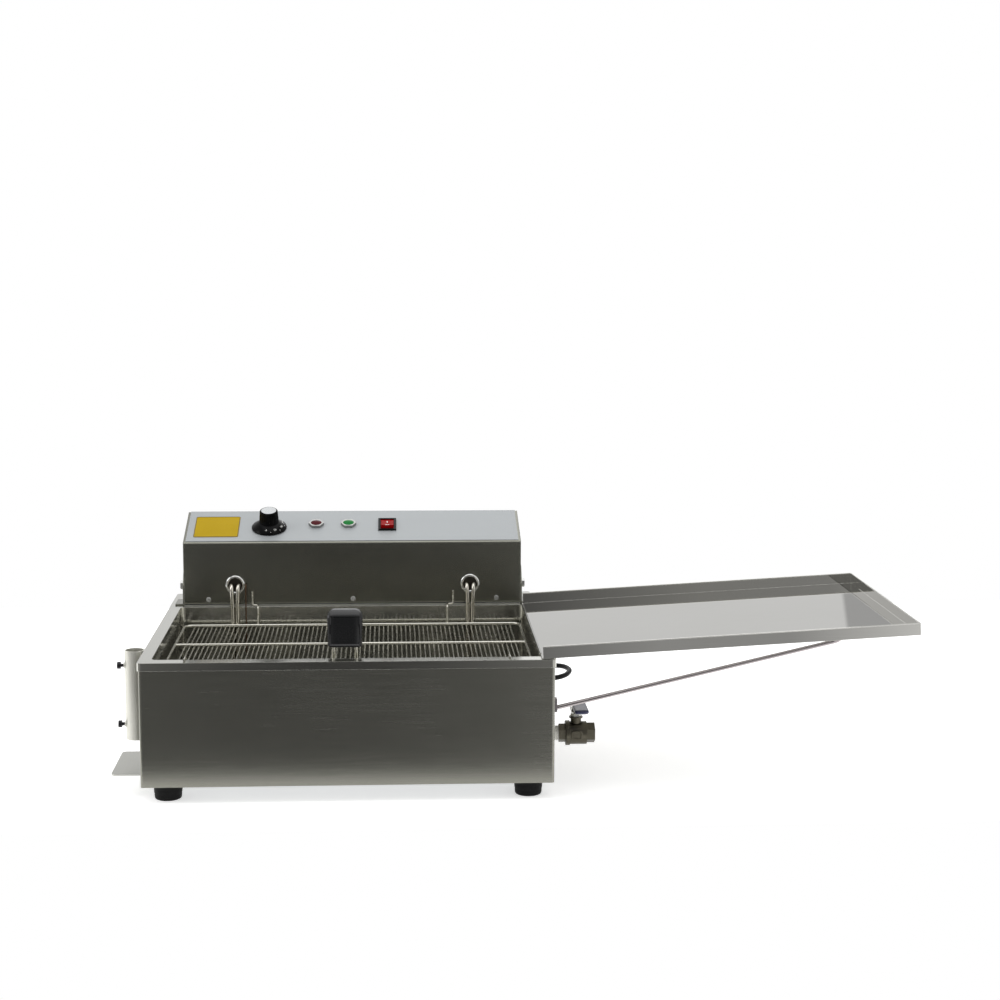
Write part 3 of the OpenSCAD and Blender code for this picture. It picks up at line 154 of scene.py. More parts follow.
def fillet(points: list, radius: float, steps: int = 8) -> Array:
    """Rounds the inner corners of a path: each corner becomes an arc tangent to both its legs.

    Args:
        points: the path's corners.
        radius: radius of every arc.
        steps: number of chords in an arc.

    Returns:
        The rounded path, one row per point.
    """
    p = np.asarray(points, float)
    corner = p[1:-1]
    back, ahead = unit(p[:-2] - corner), unit(p[2:] - corner)
    half = np.arccos(np.clip((back * ahead).sum(1), -1, 1)) / 2
    centre = corner + unit(back + ahead) * (radius / np.sin(half))[:, None]
    reach = (radius / np.tan(half))[:, None]
    first = unit(corner + back * reach - centre)
    second = corner + ahead * reach - centre
    second = unit(second - first * (second * first).sum(1, keepdims=True))
    turn = np.linspace(0, 1, steps + 1)[None, :, None] * (math.pi - 2 * half)[:, None, None]
    arcs = centre[:, None] + radius * (np.cos(turn) * first[:, None] + np.sin(turn) * second[:, None])
    return np.vstack([p[:1], arcs.reshape(-1, 3), p[-1:]])


def smooth_path(points: Array, steps: int) -> Array:
    """Threads a curve through points: cubics whose end slopes are half the neighbours' span.

    Args:
        points: the route's points.
        steps: number of chords between neighbouring points.

    Returns:
        The curve's points.
    """
    p = np.asarray(points, float)
    ends = np.vstack([2 * p[0] - p[1], p, 2 * p[-1] - p[-2]])
    a, b, c, d = ends[:-3, None], ends[1:-2, None], ends[2:-1, None], ends[3:, None]
    t = (np.arange(steps) / steps)[None, :, None]
    curve = b + 0.5 * t * ((c - a) + t * (2 * a - 5 * b + 4 * c - d + t * (3 * (b - c) + d - a)))
    return np.vstack([curve.reshape(-1, 3), p[-1:]])


def sweep(path: Array, radius: Any, sides: int = 16) -> Array:
    """Round tube: a circle square to the path at each of its points.

    Args:
        path: the tube's centreline.
        radius: one radius, or one for each point.
        sides: points in a circle.

    Returns:
        Grid of points, path by circle.
    """
    tangent = unit(np.gradient(path, axis=0))
    side = unit(SIDEWAYS - tangent * (tangent @ SIDEWAYS)[:, None])
    other = np.cross(tangent, side)
    angle = around(sides)[None, :, None]
    r = np.broadcast_to(np.asarray(radius, float), (len(path),))[:, None, None]
    return path[:, None] + r * (np.cos(angle) * side[:, None] + np.sin(angle) * other[:, None])


def revolve(profile: list, sides: int = 64) -> Array:
    """Turned shape: each (radius, height) of the profile makes a circle about Z.

    Args:
        profile: radii and heights from the lower to the upper end.
        sides: points in a circle.

    Returns:
        Grid of points, profile by circle.
    """
    p = np.asarray(profile, float)
    angle = around(sides)
    return points_at(p[:, :1] * np.cos(angle), p[:, :1] * np.sin(angle), p[:, 1:])


def squircle(half_w: Array, half_d: Array, power: float, sides: int = 64) -> tuple[Array, Array]:
    """Rounded rectangles: |x / w| ** power + |y / d| ** power = 1 for each pair of half sizes.

    Args:
        half_w: half widths, one for each section.
        half_d: half depths, one for each section.
        power: higher gives squarer corners.
        sides: points in a section.

    Returns:
        Arrays of x and y, section by point.
    """
    c, s = np.cos(around(sides)), np.sin(around(sides))
    reach = (np.abs(c) ** power + np.abs(s) ** power) ** (-1 / power)
    return np.outer(half_w, c * reach), np.outer(half_d, s * reach)


@dataclass
class Piece:
    """Mesh gathered from grids of points, each closed around its second axis."""
    name: str
    points: list = field(default_factory=list)
    faces: list = field(default_factory=list)
    count: int = 0

    def add_grid(self, grid: Array, caps: bool = True) -> "Piece":
        """Adds a tube-like grid: quads between neighbouring rings, and a flat cap on each end.

        Args:
            grid: points, ring by ring, in the maker's frame.
            caps: whether the ends are closed.

        Returns:
            The piece itself.
        """
        rings, sides = grid.shape[:2]
        index = self.count + np.arange(rings * sides).reshape(rings, sides)
        ahead = np.roll(index, -1, axis=1)
        quads = np.stack([index[:-1], ahead[:-1], ahead[1:], index[1:]], axis=-1).reshape(-1, 4)
        self.faces += quads.tolist()
        if caps:
            self.faces += [index[0, ::-1].tolist(), index[-1].tolist()]
        self.points.append(grid.reshape(-1, 3))
        self.count += rings * sides
        return self

    def add_mesh(self, points: Array, faces: list) -> "Piece":
        """Adds loose points and the faces between them.

        Args:
            points: points in the maker's frame.
            faces: lists of point numbers.

        Returns:
            The piece itself.
        """
        self.faces += [[self.count + i for i in f] for f in faces]
        self.points.append(np.asarray(points, float))
        self.count += len(points)
        return self

    def finish(self, body: Body, slot: str, look: "Finish", stands_for: tuple = (),
               crease: float = 40.0) -> bpy.types.Object:
        """Makes the object, rides it on a body and hides the CAD nodes that it stands for.

        Args:
            body: the CAD body that carries it.
            slot: the record's material slot; not used.
            look: its finish.
            stands_for: CAD nodes that it replaces.
            crease: angle in degrees past which an edge stays sharp.

        Returns:
            The finished object.
        """
        material = look.material()
        mesh = bpy.data.meshes.new(self.name)
        mesh.from_pydata(place(np.vstack(self.points)).tolist(), [], self.faces)
        mesh.polygons.foreach_set("use_smooth", np.ones(len(mesh.polygons), bool))
        mesh.validate()
        mesh.set_sharp_from_angle(angle=math.radians(crease))
        mesh.materials.append(material)
        made = bpy.data.objects.new(self.name, mesh)
        bpy.context.scene.collection.objects.link(made)
        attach(made, body.value)
        if stands_for:
            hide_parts(*stands_for)
        LOG.info("%s: %d faces on %s", self.name, len(mesh.polygons), body.value)
        return made


def add_node(tree: bpy.types.NodeTree, kind: str, links: dict | None = None,
             **settings: Any) -> bpy.types.Node:
    """Adds a shader node with its settings, socket values and links.

    Args:
        tree: the node tree.
        kind: the node's type name without its ShaderNode prefix.
        links: input socket name or number to an output socket or a constant.
        settings: the node's own properties.

    Returns:
        The new node.
    """
    node = tree.nodes.new("ShaderNode" + kind)
    for key, value in settings.items():
        setattr(node, key, value)
    for key, value in (links or {}).items():
        if isinstance(value, bpy.types.NodeSocket):
            tree.links.new(value, node.inputs[key])
        else:
            node.inputs[key].default_value = value
    return node


@dataclass(frozen=True)
class Finish:
    """Surface finish: two close colours, a grain that varies them, and the shine it leaves.

    front is a darker colour painted on a sheet's front fold as painted shade, and glow the light that the
    surface gives off.
    """
    name: str
    colour: str
    second: str
    metallic: float = 0.0
    roughness: Pair = (0.3, 0.4)
    grain_mm: float = 1.0
    grain: Grain = Grain.EVEN
    bump_mm: float = 0.0
    round_mm: float = 0.0
    cloud_mm: float = 60.0
    coat: float = 0.0
    specular: float = 0.5
    front: str = ""
    glow: float = 0.0

    def material(self) -> bpy.types.Material:
        """Builds the material once and gives it again when asked.

        Grain and cloud are noises on object coordinates, scaled from their sizes in millimetres.
        """
        known = bpy.data.materials.get(self.name)
        if known:
            return known
        made = bpy.data.materials.new(self.name)
        made.use_nodes = True
        tree = made.node_tree
        shader = tree.nodes["Principled BSDF"]
        spot = add_node(tree, "TexCoord").outputs["Object"]
        scale = tuple(1000 / self.grain_mm * share for share in self.grain.value)
        lined = add_node(tree, "Mapping", {"Vector": spot, "Scale": scale}).outputs["Vector"]
        fine = {"Vector": lined, "Scale": 1.0, "Detail": 3.0, "Roughness": 0.6}
        grain = add_node(tree, "TexNoise", fine).outputs["Fac"]
        broad = {"Vector": spot, "Scale": 1000 / self.cloud_mm, "Detail": 4.0}
        cloud = add_node(tree, "TexNoise", broad).outputs["Fac"]
        both = add_node(tree, "Math", {0: grain, 1: cloud}, operation="ADD").outputs[0]
        tone = add_node(tree, "MapRange", {"Value": both} | NOISE_SUM).outputs["Result"]
        colours = {"Factor": tone, MIX_A: linear(self.colour), MIX_B: linear(self.second)}
        paint = add_node(tree, "Mix", colours, data_type="RGBA").outputs[MIX_OUT]
        # Painted shade: the front colour darkens the sheet's front fold, fading in between the two fold
        # depths
        if self.front:
            depth = add_node(tree, "SeparateXYZ", {0: spot}).outputs["Y"]
            start, full = (float(place([0, y, 0])[1]) for y in FRONT_SHADE_Y)
            span = {"Value": depth, "From Min": start, "From Max": full}
            fold = add_node(tree, "MapRange", span).outputs["Result"]
            colours = {"Factor": fold, MIX_A: paint, MIX_B: linear(self.front)}
            paint = add_node(tree, "Mix", colours, data_type="RGBA").outputs[MIX_OUT]
        tree.links.new(paint, shader.inputs["Base Color"])
        span = {"Value": both, "To Min": self.roughness[0], "To Max": self.roughness[1]}
        shine = add_node(tree, "MapRange", span | NOISE_SUM).outputs["Result"]
        tree.links.new(shine, shader.inputs["Roughness"])
        shader.inputs["Metallic"].default_value = self.metallic
        shader.inputs["Coat Weight"].default_value = self.coat
        shader.inputs["Specular IOR Level"].default_value = self.specular
        if self.glow:
            shader.inputs["Emission Color"].default_value = linear(self.colour)
            shader.inputs["Emission Strength"].default_value = self.glow
        normal = None
        if self.round_mm:
            soft = {"Radius": self.round_mm / 1000}
            normal = add_node(tree, "Bevel", soft, samples=4).outputs["Normal"]
        if self.bump_mm:
            links = {"Height": grain, "Strength": 1.0, "Distance": self.bump_mm / 1000}
            links |= {"Normal": normal} if normal else {}
            normal = add_node(tree, "Bump", links).outputs["Normal"]
        if normal:
            tree.links.new(normal, shader.inputs["Normal"])
        return made


# All grains are drawn coarser than the real ones, which are too fine to show
# Stainless sheet, brushed along its width: a grey mirror blurred into soft streaks
CASING_STEEL = Finish("stainless_sheet_brushed_along_width", "#88887F", "#908F87", 1.0, (0.24, 0.28), 1.6,
                      Grain.ALONG_X, 0.002, 0.9, 200.0)
# The head's sheet: the same brushing, a little darker, with softly folded edges
HEAD_STEEL = Finish("stainless_sheet_brushed_on_head", "#7F7F76", "#87877F", 1.0, (0.23, 0.27), 1.6,
                    Grain.ALONG_X, 0.002, 2.6, 200.0)
# Sheet rolled bright: clear reflections in the tank, greyer on the fold at its front by painted shade
TANK_STEEL = Finish("stainless_sheet_rolled_bright", "#C6C6BF", "#CECDC7", 1.0, (0.14, 0.18), 1.6,
                    Grain.ALONG_X, 0.002, 0.9, 200.0, front="#B2B1AA")
# Sheet rolled to a mirror: sharp reflections over the whole tray
TRAY_STEEL = Finish("stainless_sheet_rolled_mirror", "#C4C3BE", "#C9C8C4", 1.0, (0.015, 0.03), 1.6,
                    Grain.ALONG_X, 0.0, 0.8, 250.0)
# Satin fittings and plate: pale grey with a dull sheen
FITTING_STEEL = Finish("stainless_fittings_satin", "#B4B3AA", "#C2C1B8", 1.0, (0.3, 0.42), 1.4,
                       Grain.ALONG_Z, 0.005, 0.5)
PLATE_STEEL = Finish("stainless_plate_satin", "#B4B4AE", "#C0C0BA", 1.0, (0.28, 0.4), 1.4,
                     Grain.ALONG_Y, 0.004, 0.5)
# Galvanised sheet: blotches of zinc in two greys
BASE_ZINC = Finish("galvanised_sheet_spangled", "#A5A8A8", "#8F9394", 1.0, (0.35, 0.5), 9.0)
# Drawn rod and plated wire: bright, with fine lines along it
STRUT_ROD = Finish("drawn_steel_rod", "#B3ACAD", "#BFB8B8", 1.0, (0.14, 0.22), 1.2, Grain.ALONG_X, 0.002)
SCREEN_WIRE = Finish("plated_steel_wire", "#CFCDC3", "#D9D7CD", 1.0, (0.22, 0.3), 1.2, Grain.ALONG_Y, 0.002)
# Chrome plating: a dark and light mirror on rings and bezels
BEZEL_CHROME = Finish("chromed_bezel_bright", "#9A9A98", "#A4A4A2", 1.0, (0.12, 0.18), 2.0)
CHROME = Finish("chromed_ring_polished", "#DADAD8", "#E4E4E2", 1.0, (0.05, 0.1), 2.0)
# Satin tube: nearly white, without a clear reflection
TUBE_STEEL = Finish("stainless_tube_satin", "#D6D5CC", "#DEDDD5", 1.0, (0.46, 0.54), 1.4,
                    Grain.ALONG_Z, 0.002)
# Plate inside the outlets: dark and dull, painted shade on a copy of the sheath's steel
OUTLET_PLATE = Finish("steel_plate_shaded_dark", "#45423C", "#38352F", 1.0, (0.4, 0.5), 2.0)
# Heating tube's sheath: warm grey with cloudy tempering
ELEMENT_SHEATH = Finish("nickel_alloy_tube_satin", "#CFCCC3", "#BFBAAF", 1.0, (0.16, 0.24), 3.0,
                        Grain.ALONG_Z, 0.002, 0.0, 30.0)
# Investment casting, blasted: dull bronze-grey with a fine pitted skin
VALVE_CAST = Finish("cast_stainless_blasted", "#625E53", "#524F45", 1.0, (0.3, 0.42), 0.9,
                    Grain.EVEN, 0.05, 0.6)
# Stamped strip and turned parts: bright satin, finer on what was turned
LEVER_STEEL = Finish("stainless_strip_stamped", "#B2B2AE", "#C0C0BC", 1.0, (0.25, 0.36), 1.2,
                     Grain.ALONG_Y, 0.004, 0.5)
TURNED_STEEL = Finish("turned_stainless", "#BDBDB8", "#C9C9C4", 1.0, (0.18, 0.28), 1.0, Grain.EVEN, 0.002)
# Plated and oxidised screws: a bluish bright skin, and a black one with a dull gleam
ZINC_SCREW = Finish("zinc_plated_screw", "#C3C4C4", "#D0D0CD", 1.0, (0.2, 0.34), 0.8,
                    Grain.EVEN, 0.003, 0.3)
BLACK_SCREW = Finish("black_oxide_screw", "#2A2A2D", "#363638", 0.8, (0.32, 0.45), 0.8,
                     Grain.EVEN, 0.004, 0.3)
# White fluoropolymer: waxy tape with wrinkled wraps, and smooth rings
SEAL_TAPE = Finish("ptfe_thread_tape", "#E9E8E2", "#D8D6CC", 0.0, (0.35, 0.5), 1.4, Grain.ALONG_Z, 0.06)
SEAT_RING = Finish("ptfe_seat_ring", "#F0EFE9", "#E6E4DC", 0.0, (0.35, 0.45), 1.0)
# Printed overlay and enamel: even colour with a faint orange-peel skin
PANEL_SILVER = Finish("silver_overlay_satin", "#9DA1A3", "#A2A6A8", 0.1, (0.4, 0.46), 1.2,
                      Grain.EVEN, 0.004)
LABEL_YELLOW = Finish("yellow_enamel_plate", "#B4960A", "#AA8D08", 0.0, (0.4, 0.5), 1.4,
                      Grain.EVEN, 0.006, 0.2, specular=0.05)
LABEL_FRAME = Finish("grey_enamel_line", "#3C3A2C", "#464433", 0.0, (0.4, 0.5), 1.4)
# Phenolic and moulded nylon: smooth black with a soft broad gleam, grained on the switch
KNOB_BLACK = Finish("phenolic_black_moulded", "#030304", "#060607", 0.0, (0.18, 0.24), 1.0,
                    Grain.EVEN, 0.002, specular=0.08)
GRIP_BLACK = Finish("phenolic_grip_polished", "#08090B", "#0C0D0F", 0.0, (0.22, 0.3), 1.0,
                    Grain.EVEN, 0.003)
SWITCH_BLACK = Finish("nylon_black_grained", "#0C0C0C", "#121212", 0.0, (0.4, 0.5), 0.6,
                      Grain.EVEN, 0.02, specular=0.12)
# Printing ink: flat white marks
DIAL_WHITE = Finish("white_dial_ink", "#F2F2EF", "#E8E8E4", 0.0, (0.4, 0.5), 1.0)
# Spun aluminium: a pale disc, half mirror and half grey
KNOB_DISC = Finish("aluminium_disc_spun", "#C4C6C7", "#B2B5B6", 0.35, (0.22, 0.34), 1.0)
# Clear-coloured plastics: deep colour under a glossy skin
ROCKER_RED = Finish("polycarbonate_red_gloss", "#8E0406", "#980709", 0.0, (0.2, 0.28), 1.5,
                    Grain.EVEN, 0.0, 0.4, specular=0.06)
LENS_RED = Finish("acrylic_lens_red", "#44030C", "#500610", 0.0, (0.08, 0.14), 2.0, specular=0.1)
LENS_GREEN = Finish("acrylic_lens_green", "#0A6A2A", "#107632", 0.0, (0.08, 0.14), 2.0, specular=0.1)
# Moulded insulators: dull cream with a chalky grain
CERAMIC = Finish("moulded_cream_insulator", "#D6CFBD", "#C9C1AC", 0.0, (0.45, 0.6), 1.0, Grain.EVEN, 0.02)
# Copper after use: brown, with a weak shine
COPPER = Finish("copper_tube_dulled", "#6B5443", "#5C4838", 1.0, (0.35, 0.5), 2.0, Grain.ALONG_Y, 0.004)
# Dipped vinyl: navy with a wet-looking skin
SLEEVE_BLUE = Finish("dipped_vinyl_navy", "#141A48", "#1A2152", 0.0, (0.3, 0.42), 1.2,
                     Grain.EVEN, 0.02, coat=0.6)
# Rubber and soft PVC: black, dull, with a faint moulded grain
FOOT_RUBBER = Finish("moulded_rubber_black", "#0B0B0B", "#101010", 0.0, (0.5, 0.65), 0.8,
                     Grain.EVEN, 0.02, specular=0.15)
CORD_RUBBER = Finish("rubber_cord_sheath", "#0A0A0B", "#101011", 0.0, (0.38, 0.5), 0.8,
                     Grain.EVEN, 0.01, specular=0.15)
PLUG_BLACK = Finish("pvc_plug_moulded", "#161616", "#1D1D1D", 0.0, (0.36, 0.46), 0.8, Grain.EVEN, 0.015)
# Woven strap: rough dark cloth without a gleam
TIE_STRAP = Finish("woven_tie_strap", "#242424", "#151515", 0.0, (0.7, 0.85), 0.9, Grain.EVEN, 0.08)
# Nickel plating: a warm, clear mirror on the blades
BLADE_METAL = Finish("nickel_plated_blade", "#C9C2A8", "#D4CEB8", 1.0, (0.15, 0.25), 1.0,
                     Grain.ALONG_X, 0.002)
# Studio paper: even white that hides its own shadows
FLOOR_WHITE = Finish("studio_paper_white", "#F4F4F4", "#F6F6F6", 0.0, (0.7, 0.8), 5.0, glow=0.6)

NODE_FINISHES: dict[Finish, tuple[str, ...]] = {
    CASING_STEEL: ("casing",),
    BASE_ZINC: ("base_plate", "head_base"),
    TANK_STEEL: ("oil_tank",),
    TRAY_STEEL: ("drain_tray",),
    HEAD_STEEL: ("head_shell", "head_end_plates", "head_brackets"),
    FITTING_STEEL: ("post_saddles", "tray_lugs", "element_rests", "drain_nipple"),
    PLATE_STEEL: ("post_plate",),
    STRUT_ROD: ("strut", "strut_clips"),
    SCREEN_WIRE: ("screen_frame", "screen_wires", "screen_hooks", "handle_wire"),
    CHROME: ("element_rings",),
    BEZEL_CHROME: ("lamp_bezels",),
    TUBE_STEEL: ("post_tube",),
    ELEMENT_SHEATH: ("element_left", "element_right"),
    VALVE_CAST: ("valve_body", "valve_end_cap"),
    LEVER_STEEL: ("valve_lever",),
    TURNED_STEEL: ("valve_stem", "valve_ball", "packing_nut", "lever_nut", "thermostat_shaft"),
    SEAT_RING: ("valve_seats",),
    ZINC_SCREW: ("head_screws", "foot_screws", "bracket_bolts"),
    BLACK_SCREW: ("clamp_screw_upper", "clamp_screw_lower"),
    PANEL_SILVER: ("control_panel",),
    LABEL_YELLOW: ("label_plate",),
    KNOB_BLACK: ("knob",),
    KNOB_DISC: ("knob_cap",),
    GRIP_BLACK: ("handle_grip",),
    SWITCH_BLACK: ("switch_housing",),
    ROCKER_RED: ("switch_rocker",),
    LENS_RED: ("red_lens",),
    LENS_GREEN: ("green_lens",),
    CERAMIC: ("thermostat_body", "limit_thermostat", "contactor", "terminal_block"),
    COPPER: ("thermostat_bulb",),
    SLEEVE_BLUE: ("lever_sleeve",),
    FOOT_RUBBER: ("rubber_feet",),
    CORD_RUBBER: ("cord_lead", "cord_coil"),
    PLUG_BLACK: ("cord_gland", "plug"),
    TIE_STRAP: ("coil_tie",),
    BLADE_METAL: ("plug_blades",),
}


def dress_nodes() -> None:
    """Gives every CAD node the finish of its real material."""
    for finish, nodes in NODE_FINISHES.items():
        for node in nodes:
            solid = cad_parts[node]
            solid.data.materials.clear()
            solid.data.materials.append(finish.material())
    left = set(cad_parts) - {n for nodes in NODE_FINISHES.values() for n in nodes}
    if left:
        raise ValueError(f"no finish for {sorted(left)}")


@dataclass(frozen=True)
class SoftBox:
    """Square studio light: its place, its turns in degrees, its side in metres and its watts."""
    name: str
    spot: Triple
    turn: Triple
    side_m: float
    watts: float


@dataclass(frozen=True)
class SkyBand:
    """Part of the low sky in front, which brightens as a direction's X goes from start to full."""
    start: float
    full: float
    bright: float


@dataclass
class Studio:
    """Camera at the photo's angle, white paper floor and soft light from above and behind.

    The sky's values are strengths and parts of a direction's unit vector. It climbs from its low part to
    bright with Y plus z_share times Z, and past a backdrop's edge behind the object it drops to past_edge.
    """
    eye: Triple = (61.34, -2688.1, 809.0)
    yaw: float = 0.0585
    pitch: float = 0.1353
    roll: float = 0.0034
    lens_mm: float = 68.43
    sensor_mm: float = 36.0
    sight_m: float = 50.0
    floor_front: float = -130.0
    floor_back: float = 1500.0
    floor_side: float = 2600.0
    boxes: tuple[SoftBox, ...] = (SoftBox("top_box", (0, 200, 2600), (0, 0, 0), 2.6, 24.0),
                                  SoftBox("left_box", (-2300, -300, 1500), (0, -58, 0), 1.4, 15.0),
                                  SoftBox("back_box", (600, 2600, 1900), (-52, 0, 0), 2.2, 14.0))
    dim: float = 0.03
    bands: tuple[SkyBand, ...] = (SkyBand(0.01, 0.14, 0.4), SkyBand(-0.06, -0.22, 0.34),
                                  SkyBand(0.15, 0.29, 0.95))
    z_share: float = 0.85
    climb: Pair = (-0.95, 0.6)
    bright: float = 0.76
    edge_x: Pair = (0.2115, 0.2135)
    edge_y: Pair = (0.3, 0.6)
    past_edge: float = 0.58

    def camera(self) -> None:
        """Sets the camera from its solved place and turns."""
        level = math.cos(self.pitch)
        right = np.array([math.cos(self.yaw), -math.sin(self.yaw), 0.0])
        ahead = np.array([math.sin(self.yaw) * level, math.cos(self.yaw) * level, -math.sin(self.pitch)])
        up = np.cross(right, ahead)
        rolled = math.cos(self.roll) * right + math.sin(self.roll) * up
        turned = np.eye(4)
        turned[:3, :3] = np.stack([rolled, np.cross(rolled, ahead), -ahead], axis=1)
        turned[:3, 3] = place(self.eye)
        data = bpy.data.cameras.new("camera")
        data.sensor_width, data.lens, data.clip_end = self.sensor_mm, self.lens_mm, self.sight_m
        made = bpy.data.objects.new("camera", data)
        made.matrix_world = Matrix(turned.tolist())
        bpy.context.scene.collection.objects.link(made)
        bpy.context.scene.camera = made

    def floor(self) -> None:
        """Lays the paper floor, which ends just in front of the view."""
        x, front, back = self.floor_side, self.floor_front, self.floor_back
        corners = place([[-x, front, 0], [x, front, 0], [x, back, 0], [-x, back, 0]])
        mesh = bpy.data.meshes.new("floor")
        mesh.from_pydata(corners.tolist(), [], [[0, 1, 2, 3]])
        mesh.materials.append(FLOOR_WHITE.material())
        made = bpy.data.objects.new("floor", mesh)
        bpy.context.scene.collection.objects.link(made)

    def lights(self) -> None:
        """Hangs the soft boxes."""
        for box in self.boxes:
            data = bpy.data.lights.new(box.name, "AREA")
            data.shape, data.size, data.energy = "SQUARE", box.side_m, box.watts
            made = bpy.data.objects.new(box.name, data)
            made.location = place(box.spot)
            made.rotation_euler = [math.radians(a) for a in box.turn]
            bpy.context.scene.collection.objects.link(made)

    def sky(self) -> None:
        """Makes a sky that is bright above and behind up to a backdrop's edge, and dim low in front."""
        world = bpy.data.worlds.new("studio")
        bpy.context.scene.world = world
        world.use_nodes = True
        tree = world.node_tree
        tree.nodes.clear()
        way = add_node(tree, "SeparateXYZ", {0: add_node(tree, "TexCoord").outputs["Generated"]}).outputs
        low: Any = self.dim
        for band in self.bands:
            span = {"Value": way["X"], "From Min": band.start, "From Max": band.full}
            span |= {"To Min": self.dim, "To Max": band.bright}
            lit = add_node(tree, "MapRange", span).outputs["Result"]
            low = add_node(tree, "Math", {0: low, 1: lit}, operation="MAXIMUM").outputs[0]
        sums = {0: way["Z"], 1: self.z_share, 2: way["Y"]}
        lifted = add_node(tree, "Math", sums, operation="MULTIPLY_ADD").outputs[0]
        span = {"Value": lifted, "From Min": self.climb[0], "From Max": self.climb[1]}
        span |= {"To Min": low, "To Max": self.bright}
        sky = add_node(tree, "MapRange", span, interpolation_type="SMOOTHSTEP").outputs["Result"]
        past: Any = 1.0
        for axis, (start, full) in (("X", self.edge_x), ("Y", self.edge_y)):
            span = {"Value": way[axis], "From Min": start, "From Max": full}
            beyond = add_node(tree, "MapRange", span).outputs["Result"]
            past = add_node(tree, "Math", {0: past, 1: beyond}, operation="MULTIPLY").outputs[0]
        span = {"Value": past, "To Min": 1.0, "To Max": self.past_edge}
        edge = add_node(tree, "MapRange", span).outputs["Result"]
        cut = add_node(tree, "Math", {0: sky, 1: edge}, operation="MULTIPLY").outputs[0]
        lit = add_node(tree, "Background", {"Color": (1, 1, 1, 1), "Strength": cut}).outputs[0]
        paper = add_node(tree, "Background", {"Color": (1, 1, 1, 1), "Strength": 1.0}).outputs[0]
        seen = add_node(tree, "LightPath").outputs["Is Camera Ray"]
        mixed = add_node(tree, "MixShader", {0: seen, 1: lit, 2: paper}).outputs[0]
        add_node(tree, "OutputWorld", {"Surface": mixed})
        bpy.context.scene.view_settings.view_transform = "Standard"


